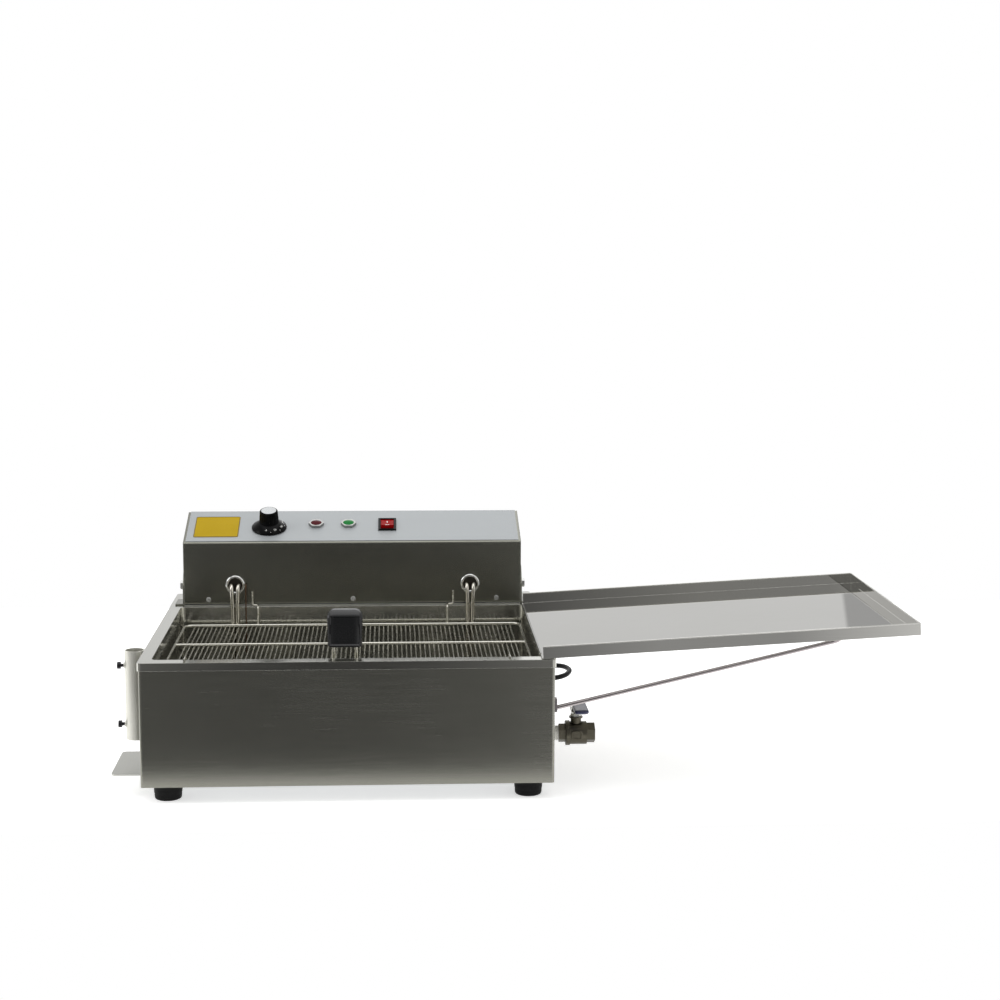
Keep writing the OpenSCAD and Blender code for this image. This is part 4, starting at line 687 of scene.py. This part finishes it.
@dataclass
class Cord:
    """Mains cord: a ribbed relief, a lead down to the floor, a tied coil behind the casing and its plug.

    The lead's points are offsets from its exit. A rib is a depth and a pitch, the neck's ribs a depth and
    a count, and a waist a depth, a place and a width, as shares of the plug.
    """
    diameter: float = 8.5
    exit: Triple = (324.0, 470.0, 71.0)
    lead: tuple = ((0, 0, 0), (8, 0, 0), (22, 4, 1), (34, 13, 2), (42, 27, 3), (46, 44, 4), (44, 61, 4),
                   (37, 76, 4), (24, 87, 3), (8, 92, 2), (-9, 92, 0), (-26, 92, -4), (-42, 92, -11),
                   (-57, 92, -20), (-71, 92, -30), (-85, 92, -41), (-98, 93, -51), (-110, 98, -58),
                   (-120, 107, -62.5), (-128, 120, -65), (-132, 135, -65.5), (-134, 148, -65.5),
                   (-134, 158, -65.5))
    coil_centre: Pair = (137.0, 636.5)
    coil_r: float = 53.0
    turns: float = 4.25
    step: float = 9.2
    lift: float = 5.5
    tail: float = 40.0
    flange: tuple = ((8, -2.5), (8, 0), (11, 0.05), (11.8, 0.8), (11.8, 4.2), (11, 5))
    taper_x: Pair = (5.0, 24.0)
    taper_r: Pair = (9.1, 7.7)
    rib: Pair = (0.3, 3.2)
    hole_r: float = 4.3
    nut: tuple = ((11, -6.5), (11, -1.6))
    plug_size: Triple = (38.0, 28.0, 26.0)
    plug_corner: float = 4.0
    plug_end_share: float = 0.82
    plug_round: float = 0.08
    waist: Triple = (0.08, 0.55, 0.2)
    neck: float = 24.0
    neck_r: Pair = (6.9, 4.9)
    neck_ribs: tuple[float, int] = (0.35, 7)

    def coil(self) -> Array:
        """Coil's centreline: the radius falls and grows again with the angle; the height climbs midway."""
        t = np.linspace(0, self.turns, int(self.turns * 64) + 1)
        r = self.coil_r - self.step * np.minimum(t, self.turns - t)
        climb = np.clip((t - self.turns / 2) * 2 + 0.5, 0, 1)
        x, y = self.coil_centre
        return points_at(x + r * np.cos(TURN * t), y + r * np.sin(TURN * t), self.lift + self.step * climb)

    def plug_end(self) -> Array:
        """Point where the cord goes into the plug's neck."""
        return self.coil()[-1] - np.array([self.tail, 0, 0])

    def out_of_wall(self, grid: Array) -> Array:
        """Lays a turned shape along X, out of the right wall at the cord's height."""
        return points_at(WALL_X + grid[..., 2], self.exit[1] + grid[..., 1], self.exit[2] - grid[..., 0])

    def relief(self) -> bpy.types.Object:
        """Gland and relief: a turned flange and a taper with rings pressed round it, along X."""
        start, end = self.taper_x
        deep, pitch = self.rib
        x = np.linspace(start, end, 58)
        ribs = np.interp(x, self.taper_x, self.taper_r) + deep * np.cos((x - start) * TURN / pitch)
        profile = list(self.flange) + list(zip(ribs, x)) + [(self.hole_r, end)]
        piece = Piece("cord_relief").add_grid(self.out_of_wall(revolve(profile, 48)))
        piece.add_grid(self.out_of_wall(revolve(self.nut, 6)))
        return piece.finish(Body.FRYER, "plug_black", PLUG_BLACK, ("cord_gland",))

    def plug(self) -> bpy.types.Object:
        """Plug: rounded sections back from the pins' face, waisted for the fingers, into a ribbed neck."""
        length, wide, high = self.plug_size
        end = self.plug_end()
        u = np.linspace(0, 1, 40)
        to_end = np.clip((np.abs(u - 0.5) - 0.5 + self.plug_round) / self.plug_round, 0, 1)
        round_off = np.sqrt(np.clip(1 - to_end ** 2, 0, 1))
        deep, spot, width = self.waist
        waist = 1 - deep * np.exp(-((u - spot) / width) ** 2)
        size = (self.plug_end_share + (1 - self.plug_end_share) * round_off) * waist
        y, z = squircle(size * wide / 2, size * high / 2, self.plug_corner)
        reach = end[0] - self.neck - length + u * length
        body = points_at(reach[:, None], end[1] + y, end[2] + z)
        v = np.linspace(0, 1, 50)
        deep, count = self.neck_ribs
        neck = np.interp(v, (0, 1), self.neck_r) + deep * np.cos(v * TURN * count)
        path = points_at(end[0] - self.neck - 1 + v * (self.neck + 1), end[1], end[2])
        piece = Piece("plug_body").add_grid(body).add_grid(sweep(path, neck, 32))
        return piece.finish(Body.FRYER, "plug_black", PLUG_BLACK, ("plug",))

    def build(self) -> None:
        lead = smooth_path(np.array(self.exit) + np.array(self.lead), 5)
        path = np.vstack([lead, self.coil(), self.plug_end()[None]])
        sheath = Piece("power_cord").add_grid(sweep(path, self.diameter / 2))
        made = sheath.finish(Body.FRYER, "cord_rubber", CORD_RUBBER, ("cord_lead", "cord_coil"))
        self.relief()
        plug = self.plug()


@dataclass
class Elements:
    """Heating tubes bent in flat loops over the tank's floor, with legs up to two ringed outlets."""
    centre: float = 194.0
    tube_d: float = 6.5
    spread: float = 11.0
    close: float = 7.5
    leg_y: float = 412.0
    head_y: float = 462.0
    outlet_z: float = 245.0
    loop_z: float = 73.0
    out: float = 78.0
    inn: float = 26.0
    front_y: float = 92.0
    back_y: float = 344.0
    run_in: float = 36.0
    bend: float = 9.0
    ring_r: Pair = (16.0, 11.2)
    lip_out: float = 3.4
    lip_swell: float = 2.6
    lip_in: float = 1.5
    plate: tuple = ((0.5, -1.8), (11.4, -1.8), (11.4, -1.0))

    def path(self, centre: float) -> Array:
        """Centreline of one tube: out of the head, down, forward and back in half circles, and up again."""
        near, low, out, inn = self.spread / 2, self.close / 2, self.out, self.inn
        y, z, top = self.leg_y, self.loop_z, self.outlet_z
        half = fillet([(-near, self.head_y, top), (-near, y, top), (-low, y, RIM_Z), (-low, y, z),
                       (-out, y, z), (-out, y - self.run_in, z)], self.bend)
        turn = np.linspace(math.pi, TURN, 25)
        mid, r = (out + inn) / 2, (out - inn) / 2
        front = points_at(-mid + r * np.cos(turn), self.front_y + r * np.sin(turn), z)
        arch = np.linspace(math.pi, math.pi / 2, 13)
        peak = points_at(inn * np.cos(arch), self.back_y + inn * np.sin(arch), z)
        left = np.vstack([half, front, peak])
        right = left[::-1][1:] * np.array([-1, 1, 1])
        return np.vstack([left, right]) + np.array([centre, 0, 0])

    def facing(self, profile: list, centre: float) -> Array:
        """Turns a profile about an outlet's axis, which points to the front."""
        grid = revolve(profile)
        return points_at(centre + grid[..., 0], HEAD_Y + grid[..., 2], self.outlet_z + grid[..., 1])[::-1]

    def lip(self) -> list:
        """Profile of an outlet's lip, rolled over in half an ellipse and closed behind."""
        wide, narrow = self.ring_r
        roll = np.linspace(0, math.pi, 12)
        r = (wide + narrow) / 2 + (wide - narrow) / 2 * np.cos(roll)
        rolled = list(zip(r, -self.lip_out - self.lip_swell * np.sin(roll)))
        return [(wide, 0)] + rolled + [(narrow, -self.lip_in), (narrow, 0), (wide, 0)]

    def build(self) -> None:
        """Makes both tubes, the outlets' rolled lips and the plates sunk inside them, dark with painted
        shade.
        """
        for name, side in (("left", -1), ("right", 1)):
            tube = Piece(f"heating_tube_{name}")
            tube.add_grid(sweep(self.path(side * self.centre), self.tube_d / 2))
            tube.finish(Body.FRYER, "element_sheath", ELEMENT_SHEATH, (f"element_{name}",))
        rings, plates = Piece("outlet_rings"), Piece("outlet_plates")
        for side in (-1, 1):
            rings.add_grid(self.facing(self.lip()[::-1], side * self.centre), caps=False)
            plates.add_grid(self.facing(self.plate, side * self.centre))
        rings.finish(Body.FRYER, "bright_chrome", CHROME, ("element_rings",))
        # Painted shade: the sheath's slot on a dark finish fills the outlets' openings
        plates.finish(Body.FRYER, "element_sheath", OUTLET_PLATE)


@dataclass
class Screen:
    """Frying screen's bent hooks, the wire of its grip and the moulded grip."""
    front_y: float = 33.0
    back_y: float = 404.0
    frame_z: float = 181.0
    rest_z: float = 210.9
    hook_d: float = 3.0
    hook_foot: float = 2.0
    hook_gap: float = 3.6
    hook_bend: float = 3.5
    front_x: float = 235.0
    front_end_y: float = 8.0
    rear_x: float = 156.0
    finger: Triple = (10.0, 424.0, 25.0)
    wire_d: float = 5.0
    wire_z: float = 185.6
    wire_bend: float = 10.0
    wire_in: float = 24.0
    centre_x: float = -5.0
    leg_x: float = 16.5
    leg_y: float = 50.0
    grip: Triple = (53.0, 28.0, 53.0)
    grip_z: float = 221.0
    grip_corner: float = 6.0
    crown: float = 12.0
    foot: float = 3.0
    taper: float = 1.5
    least: float = 0.4
    border: Triple = (4.5, 3.0, 9.0)
    border_slope: float = 1.2
    sunk: float = 2.2
    lean: float = 13.0

    def hooks(self) -> None:
        """Rods up from the frame: the front ones bend over the rim, the rear ones out into a finger."""
        piece = Piece("screen_hook_rods")
        low, rest = self.frame_z - self.hook_foot, self.rest_z
        front, back = self.front_y - self.hook_gap, self.back_y + self.hook_gap
        aside, y, high = self.finger
        for side in (-1, 1):
            x, rx, fx = side * self.front_x, side * self.rear_x, side * (self.rear_x + aside)
            over_rim = [(x, front, low), (x, front, rest), (x, self.front_end_y, rest)]
            fingered = [(rx, back, low), (rx, back, rest), (rx, y, rest), (fx, y, rest),
                        (fx, y, RIM_Z + high)]
            for corners in (over_rim, fingered):
                piece.add_grid(sweep(fillet(corners, self.hook_bend), self.hook_d / 2, 12))
        piece.finish(Body.SCREEN, "screen_steel", SCREEN_WIRE, ("screen_hooks",))

    def handle(self) -> None:
        """Two wires from the frame's front, lying on the screen and bent up into the grip."""
        piece = Piece("grip_wires")
        z, top = self.wire_z, self.grip_z + self.wire_in
        for side in (-1, 1):
            x = self.centre_x + side * self.leg_x
            corners = [(x, self.front_y, z), (x, self.leg_y, z), (x, self.leg_y, top)]
            piece.add_grid(sweep(fillet(corners, self.wire_bend), self.wire_d / 2))
        piece.finish(Body.SCREEN, "screen_steel", SCREEN_WIRE, ("handle_wire",))

    def moulded_grip(self) -> None:
        """Grip: squared sections that shrink into a rounded crown and lean back, with a sunk front face."""
        wide, deep, high = self.grip
        crown, foot = self.crown, self.foot
        rise = high - crown
        u = np.concatenate([np.linspace(0, foot, 8)[:-1], np.linspace(foot, rise, 40)[:-1],
                            rise + crown * np.sin(np.linspace(0, math.pi / 2, 24))])
        over, under = np.clip(u - rise, 0, crown), np.clip(foot - u, 0, foot)
        inset = (crown - np.sqrt(np.clip(crown ** 2 - over ** 2, 0, None))
                 + foot - np.sqrt(np.clip(foot ** 2 - under ** 2, 0, None)))
        half_w = np.maximum(wide / 2 - inset - self.taper * (1 - u / high), self.least)
        x, y = squircle(half_w, np.maximum(deep / 2 - inset, self.least), self.grip_corner, 160)
        level = np.broadcast_to(u[:, None], x.shape)
        sides, below, above = self.border
        room = (wide / 2 - sides - np.abs(x), level - below, high - above - level)
        inner = np.prod([np.clip(r / self.border_slope, 0, 1) for r in room], axis=0)
        y = y + np.where(y < 0, self.sunk * inner, 0)
        grid = points_at(self.centre_x + x, self.leg_y + y + self.lean * level / high, self.grip_z + level)
        piece = Piece("screen_grip").add_grid(grid)
        piece.finish(Body.SCREEN, "grip_black", GRIP_BLACK, ("handle_grip",), 50)

    def build(self) -> None:
        """Makes the hooks, wires and grip."""
        self.hooks()
        self.handle()
        self.moulded_grip()


@dataclass
class Dial:
    """Thermostat knob with a fluted grip and a skirt that carries the dial's numbers.

    The crown's points are radii and heights from the knob's top. Marks are numbers and degrees.
    """
    x: float = -140.0
    s: float = 50.0
    lift: float = 1.8
    skirt: tuple = ((29, 0), (29, 1.4), (28.4, 2.2), (17.6, 9.6))
    shoulder: Pair = (16.8, 9.9)
    grip: Pair = (16.0, 14.5)
    grip_from: float = 10.0
    crown: tuple = ((13.7, -0.3), (13.0, 0), (12.7, 0), (12.7, -1.1))
    high: float = 32.0
    flutes: int = 30
    flute_deep: float = 0.022
    flute_in: Pair = (0.4, 1.2)
    sides: int = 240
    marks: tuple = (("0", -100), ("50", -62), ("100", -24), ("150", 16), ("200", 56))
    mark_size: float = 4.6
    mark_spot: Pair = (22.8, 6.05)
    dot_turn: float = 19.0
    dot_spot: Pair = (25.6, 4.15)
    dot: tuple = ((0.7, -0.3), (0.7, 0.12))

    def raise_up(self, points: Array) -> Array:
        """Carries points from the knob's own frame on to the panel."""
        return on_panel(np.asarray(points, float) + np.array([self.x, self.s, self.lift]))

    def body(self) -> None:
        """Knob: a turned skirt, and above it a taper whose radius ripples with the angle."""
        h = np.linspace(self.grip_from + self.flute_in[0], self.high - self.flute_in[1], 16)
        r = np.interp(h, [self.grip_from, self.high], self.grip)
        top = [(radius, self.high + down) for radius, down in self.crown]
        grid = revolve(list(self.skirt) + [self.shoulder] + list(zip(r, h)) + top, self.sides)
        level = grid[..., 2]
        fluted = (level >= h[0]) & (level <= h[-1])
        ripple = 1 + np.where(fluted, self.flute_deep * np.cos(self.flutes * around(self.sides)), 0)
        grid[..., :2] *= ripple[..., None]
        piece = Piece("dial_knob").add_grid(self.raise_up(grid))
        piece.finish(Body.KNOB, "knob_black", KNOB_BLACK, ("knob",), 30)

    def numbers(self) -> None:
        """Numbers and dots on the skirt: flat glyphs laid square to the cone, reading from outside."""
        piece = Piece("dial_numbers")
        (low_r, low_h), (top_r, top_h) = self.skirt[-2:]
        rise = unit(np.array([top_h - low_h, low_r - top_r]))
        for text, degrees in self.marks:
            a, dot = math.radians(degrees), math.radians(degrees + self.dot_turn)
            radial = np.array([math.cos(a), math.sin(a), 0.0])
            out = rise[0] * radial + np.array([0, 0, rise[1]])
            up = -rise[1] * radial + np.array([0, 0, rise[0]])
            points, faces = glyphs(text, self.mark_size)
            base = self.mark_spot[0] * radial + np.array([0, 0, self.mark_spot[1]])
            piece.add_mesh(self.raise_up(base + points @ np.stack([np.cross(up, out), up, out])), faces)
            reach, height = self.dot_spot
            spot = np.array([reach * math.cos(dot), reach * math.sin(dot), height])
            piece.add_grid(self.raise_up(spot + revolve(self.dot, 12)))
        piece.finish(Body.KNOB, "knob_disc", DIAL_WHITE)

    def build(self) -> None:
        """Makes the knob and its numbers."""
        self.body()
        self.numbers()


def glyphs(text: str, size: float) -> tuple[Array, list]:
    """Turns plain digits to a thin mesh, centred on its own origin.

    Args:
        text: the digits.
        size: their height setting in millimetres.

    Returns:
        Points in millimetres and faces.
    """
    curve = bpy.data.curves.new("digits", "FONT")
    curve.body, curve.size, curve.align_x, curve.align_y = text, size, "CENTER", "CENTER"
    curve.extrude, curve.resolution_u = GLYPH_HALF_T, GLYPH_STEPS
    holder = bpy.data.objects.new("digits", curve)
    bpy.context.scene.collection.objects.link(holder)
    bpy.context.view_layer.update()
    mesh = bpy.data.meshes.new_from_object(holder.evaluated_get(bpy.context.evaluated_depsgraph_get()))
    points = np.empty(len(mesh.vertices) * 3)
    mesh.vertices.foreach_get("co", points)
    faces = [list(p.vertices) for p in mesh.polygons]
    bpy.data.objects.remove(holder)
    bpy.data.curves.remove(curve)
    bpy.data.meshes.remove(mesh)
    return points.reshape(-1, 3), faces


@dataclass
class Rocker:
    """Marks on the switch's rocker: a bar on one half and a ring on the other."""
    x: float = 57.0
    s: float = 58.0
    half: float = 16.0
    end_h: float = 5.4
    mid_h: float = 2.1
    mark_at: float = 8.5
    bar: Pair = (0.7, 3.0)
    bar_z: Pair = (-0.2, 0.15)
    bar_corner: float = 6.0
    ring_r: float = 3.2
    ring_half: Pair = (0.55, 0.2)

    def on_face(self, points: Array, side: int) -> Array:
        """Carries flat points on to one half of the tilted rocker.

        Args:
            points: across, away from the middle and out of the face.
            side: one for the upper half, minus one for the lower.

        Returns:
            Points in the maker's frame.
        """
        slope = math.atan((self.end_h - self.mid_h) / self.half)
        across, away, out = points[..., 0], points[..., 1], points[..., 2]
        y = side * (away * math.cos(slope) - out * math.sin(slope))
        z = self.mid_h + away * math.sin(slope) + out * math.cos(slope)
        c, s = math.cos(-slope), math.sin(-slope)
        return on_panel(points_at(self.x + across, self.s + y * c - z * s, y * s + z * c))

    def build(self) -> None:
        """Makes the raised bar and ring."""
        x, y = squircle(np.full(2, self.bar[0]), np.full(2, self.bar[1]), self.bar_corner, 32)
        bar = points_at(x, self.mark_at + y, np.array(self.bar_z)[:, None])
        wide, high = self.ring_half
        loop = np.linspace(0, TURN, 9)
        tube = revolve(list(zip(self.ring_r + wide * np.cos(loop), high * np.sin(loop))), 40)
        ring = self.on_face(tube + np.array([0, self.mark_at, 0]), -1)
        piece = Piece("rocker_marks").add_grid(self.on_face(bar, 1)).add_grid(ring[:, ::-1], caps=False)
        piece.finish(Body.ROCKER, "knob_disc", DIAL_WHITE)


@dataclass
class Valve:
    """Ball valve's cast pad, its thread tape and the dipped sleeve of its lever.

    The pad's pairs are half sizes and how far out they stand from the ball's middle.
    """
    ball: Triple = (344.5, 140.0, 63.0)
    lever: Triple = (92.0, 17.0, 2.5)
    grip_z: float = 54.25
    sleeve_len: float = 57.2
    sleeve_t: float = 2.2
    sleeve_corner: float = 3.2
    tip_share: float = 0.12
    tip_width: float = 0.35
    tip_least: float = 0.02
    pad_rings: tuple = ((9.0, 15.4), (8.8, 17.9), (8.2, 18.2), (6.6, 18.2), (6.0, 17.5), (0.5, 17.4))
    pad_flat: float = 0.82
    pad_corner: float = 5.0
    tape_x: Pair = (302.2, 317.9)
    tape_r: float = 10.75
    wraps: Pair = (0.35, 0.9)
    wrinkles: Pair = (0.15, 2.3)

    def sleeve(self) -> None:
        """Sleeve: squared sections along the lever, drawn in at the tip."""
        length, wide, thick = self.lever
        u = np.linspace(0, 1, 48)
        along = -length - self.sleeve_t + u * self.sleeve_len
        to_tip = np.clip((self.tip_share - u) / self.tip_share, 0, 1)
        tip = np.sqrt(np.clip(1 - to_tip ** 2, self.tip_least, 1))
        half_w = (wide / 2 + self.sleeve_t) * (self.tip_width + (1 - self.tip_width) * tip)
        x, z = squircle(half_w, (thick / 2 + self.sleeve_t) * tip, self.sleeve_corner, 48)
        grid = points_at(self.ball[0] + x, self.ball[1] + along[:, None], self.ball[2] + self.grip_z + z)
        piece = Piece("lever_grip_sleeve").add_grid(grid[:, ::-1])
        piece.finish(Body.LEVER, "sleeve_blue", SLEEVE_BLUE, ("lever_sleeve",), 50)

    def pad(self) -> None:
        """Cast pad on the body's front: squared rings that rise from the barrel and sink in a border."""
        size, out = np.array(self.pad_rings).T
        x, z = squircle(size, size * self.pad_flat, self.pad_corner, 48)
        grid = points_at(self.ball[0] + x, self.ball[1] - out[:, None], self.ball[2] + z)
        Piece("valve_cast_pad").add_grid(grid).finish(Body.FRYER, "valve_cast", VALVE_CAST)

    def tape(self) -> None:
        """Thread tape: a turned band on the pipe whose radius steps where the wraps overlap."""
        x = np.linspace(*self.tape_x, 60)
        (step, often), (fold, finer) = self.wraps, self.wrinkles
        r = self.tape_r + step * np.abs(np.sin(x * often)) + fold * np.sin(x * finer)
        path = points_at(x, self.ball[1], self.ball[2])
        Piece("thread_tape").add_grid(sweep(path, r, 40)).finish(Body.FRYER, "seat_white", SEAL_TAPE)

    def build(self) -> None:
        """Makes the sleeve, pad and tape."""
        self.sleeve()
        self.pad()
        self.tape()


@dataclass
class Trim:
    """Feet, tray hems, screw heads, the border of the plain plate and the strip at the head's foot."""
    feet: tuple = ((-264, 34.5), (264, 34.5), (-264, 505.5), (264, 505.5))
    foot_r: Pair = (19.5, 22.0)
    foot_h: float = 26.5
    foot_cup: tuple = ((3.2, 9), (7, 9), (7, 1), (7.6, 0))
    foot_edge: tuple = ((-2, 0), (-0.6, 0.7), (0, 2))
    foot_side: Pair = (2.5, 1.5)
    grooves: Pair = (8.0, 16.0)
    groove_deep: float = 0.35
    tray_len: float = 557.0
    tray_y: Pair = (1.0, 425.0)
    lip_h: float = 17.4
    hem_from: float = 2.6
    hem_in: Pair = (0.6, 0.4)
    hem_r: float = 1.0
    hem_bend: float = 2.0
    screws: tuple[float, ...] = (-238.0, 0.0, 238.0)
    screw_z: float = 220.0
    head_r: Pair = (4.0, 3.0)
    head_h: Pair = (1.4, 2.4)
    head_face: Triple = (2.9, 0.15, 0.2)
    cross: Triple = (0.55, 2.4, 0.9)
    shank: Triple = (-0.5, 9.0, 2.0)
    plate: Triple = (-227.0, 54.0, 1.25)
    plate_half: Pair = (36.2, 35.2)
    plate_bend: float = 2.5
    line_r: float = 0.45
    strip_x: float = 278.0
    strip_y: Pair = (-0.6, 1.0)
    strip_z: Pair = (0.1, 2.2)

    def rubber(self) -> None:
        """Feet: a taper with rounded edges, two shallow grooves and a cup for the screw below."""
        low, high = self.foot_r
        z = np.linspace(self.foot_side[0], self.foot_h - self.foot_side[1], 30)
        side = low + (high - low) * z / self.foot_h
        for groove in self.grooves:
            side = side - self.groove_deep * np.exp(-(z - groove) ** 2)
        hole, cup = self.foot_cup[0]
        edge = [(low + aside, height) for aside, height in self.foot_edge]
        profile = list(self.foot_cup) + edge + list(zip(side, z))
        profile += [(high, self.foot_h), (hole, self.foot_h), (hole, cup)]
        piece = Piece("foot_rubbers")
        for x, y in self.feet:
            piece.add_grid(revolve(profile, 48) + np.array([x, y, 0]), caps=False)
        piece.finish(Body.FRYER, "foot_rubber", FOOT_RUBBER, ("rubber_feet",))

    def hems(self) -> None:
        """Rolled hem along the tray's three lips: a tube on a path with tight corners."""
        start, (edge, below) = self.hem_from, self.hem_in
        near, far = self.tray_y[0] + edge, self.tray_y[1] - edge
        end, top = self.tray_len - edge, self.lip_h - below
        corners = [(start, near, top), (end, near, top), (end, far, top), (start, far, top)]
        path = on_tray(fillet(corners, self.hem_bend, 6))
        Piece("tray_hem").add_grid(sweep(path, self.hem_r, 10)).finish(Body.TRAY, "tray_steel", TRAY_STEEL)

    def heads(self) -> None:
        """Pan-head screws: a low dome turned about Y with a driver's cross pressed into it."""
        piece = Piece("pan_head_screws")
        angle, bulge = around(72), np.linspace(0, math.pi / 2, 12)
        (wide, flat), (rim, top) = self.head_r, self.head_h
        outer, inner, rise = self.head_face
        r = np.concatenate([[wide], flat + (wide - flat) * np.cos(bulge), np.linspace(outer, inner, 12)])
        h = np.concatenate([[0.0], rim + (top - rim) * np.sin(bulge), top + rise * np.linspace(0, 1, 12)])
        x, z = np.outer(r, np.cos(angle)), np.outer(r, np.sin(angle))
        arm, reach, sunk = self.cross
        crossed = ((np.abs(x) < arm) | (np.abs(z) < arm)) & (np.hypot(x, z) < reach)
        depth = h[:, None] - np.where(crossed, sunk, 0)
        start, end, shank_r = self.shank
        for spot in self.screws:
            piece.add_grid(points_at(spot + x, HEAD_Y - depth, self.screw_z + z))
            shank = points_at(spot, HEAD_Y + np.array([start, end]), self.screw_z)
            piece.add_grid(sweep(shank, shank_r))
        piece.finish(Body.FRYER, "zinc_screw", ZINC_SCREW, ("head_screws",), 30)

    def plate_border(self) -> None:
        """Dark line round the plain plate: a thin rounded rod on its outline."""
        (x, s, out), (w, d) = self.plate, self.plate_half
        corners = [(x - w, s), (x - w, s - d), (x + w, s - d), (x + w, s + d), (x - w, s + d), (x - w, s)]
        path = on_panel(fillet([(*corner, out) for corner in corners], self.plate_bend, 6))
        piece = Piece("plate_border").add_grid(sweep(path, self.line_r, 8), caps=False)
        piece.finish(Body.FRYER, "label_yellow", LABEL_FRAME)

    def flange(self) -> None:
        """Folded foot of the head's front: a thin strip squared along X, down to the tank's rim, paler than
        the head as a painted highlight.
        """
        (front, back), (low, high) = self.strip_y, self.strip_z
        y = HEAD_Y + np.array([front, back, back, front])
        z = RIM_Z + np.array([low, low, high, high])
        grid = points_at(np.array([[-self.strip_x], [self.strip_x]]), y, z)
        # Painted highlight: the head's sheet in the paler satin plate finish, so the foot shows as a pale
        # line
        Piece("head_foot_flange").add_grid(grid).finish(Body.FRYER, "head_steel", PLATE_STEEL)

    def build(self) -> None:
        """Makes every trim piece."""
        self.rubber()
        self.hems()
        self.heads()
        self.plate_border()
        self.flange()


@dataclass
class Sensor:
    """Thermostat's copper bulb above the left tube, with its capillary up the back wall into the head."""
    x: float = -176.5
    z: float = 87.25
    bulb: Pair = (302.0, 406.0)
    bulb_r: float = 3.0
    bulb_end_r: float = 0.9
    wall_y: float = 418.0
    outlet: Pair = (462.0, 245.0)
    tail_from: float = 405.0
    tail_r: float = 1.0
    tail_bend: float = 6.0
    end_share: float = 0.04

    def build(self) -> None:
        """Bulb with rounded ends, carried on by the thin capillary."""
        u = np.linspace(0, 1, 40)
        y = self.bulb[0] + u * (self.bulb[1] - self.bulb[0])
        to_end = (np.abs(u - 0.5) - 0.5 + self.end_share).clip(0) / self.end_share
        r = np.maximum(self.bulb_r * np.sqrt(np.clip(1 - to_end ** 2, 0, 1)), self.bulb_end_r)
        into, top = self.outlet
        tail = fillet([(self.x, self.tail_from, self.z), (self.x, self.wall_y, self.z),
                       (self.x, self.wall_y, top), (self.x, into, top)], self.tail_bend)
        piece = Piece("sensor_bulb").add_grid(sweep(points_at(self.x, y, self.z), r, 20))
        piece.add_grid(sweep(tail, self.tail_r, 10))
        piece.finish(Body.FRYER, "bulb_copper", COPPER, ("thermostat_bulb",))


def main() -> None:
    """Builds camera, cord and pieces in order, then the floor, lights and sky."""
    logging.basicConfig(level=logging.INFO, format="%(name)s: %(message)s")
    studio = Studio()
    studio.camera()
    dress_nodes()
    Cord().build()
    for part in (Elements(), Sensor(), Screen(), Dial(), Rocker(), Valve(), Trim()):
        part.build()
    studio.floor()
    studio.lights()
    studio.sky()


if __name__ == "__main__":
    main()
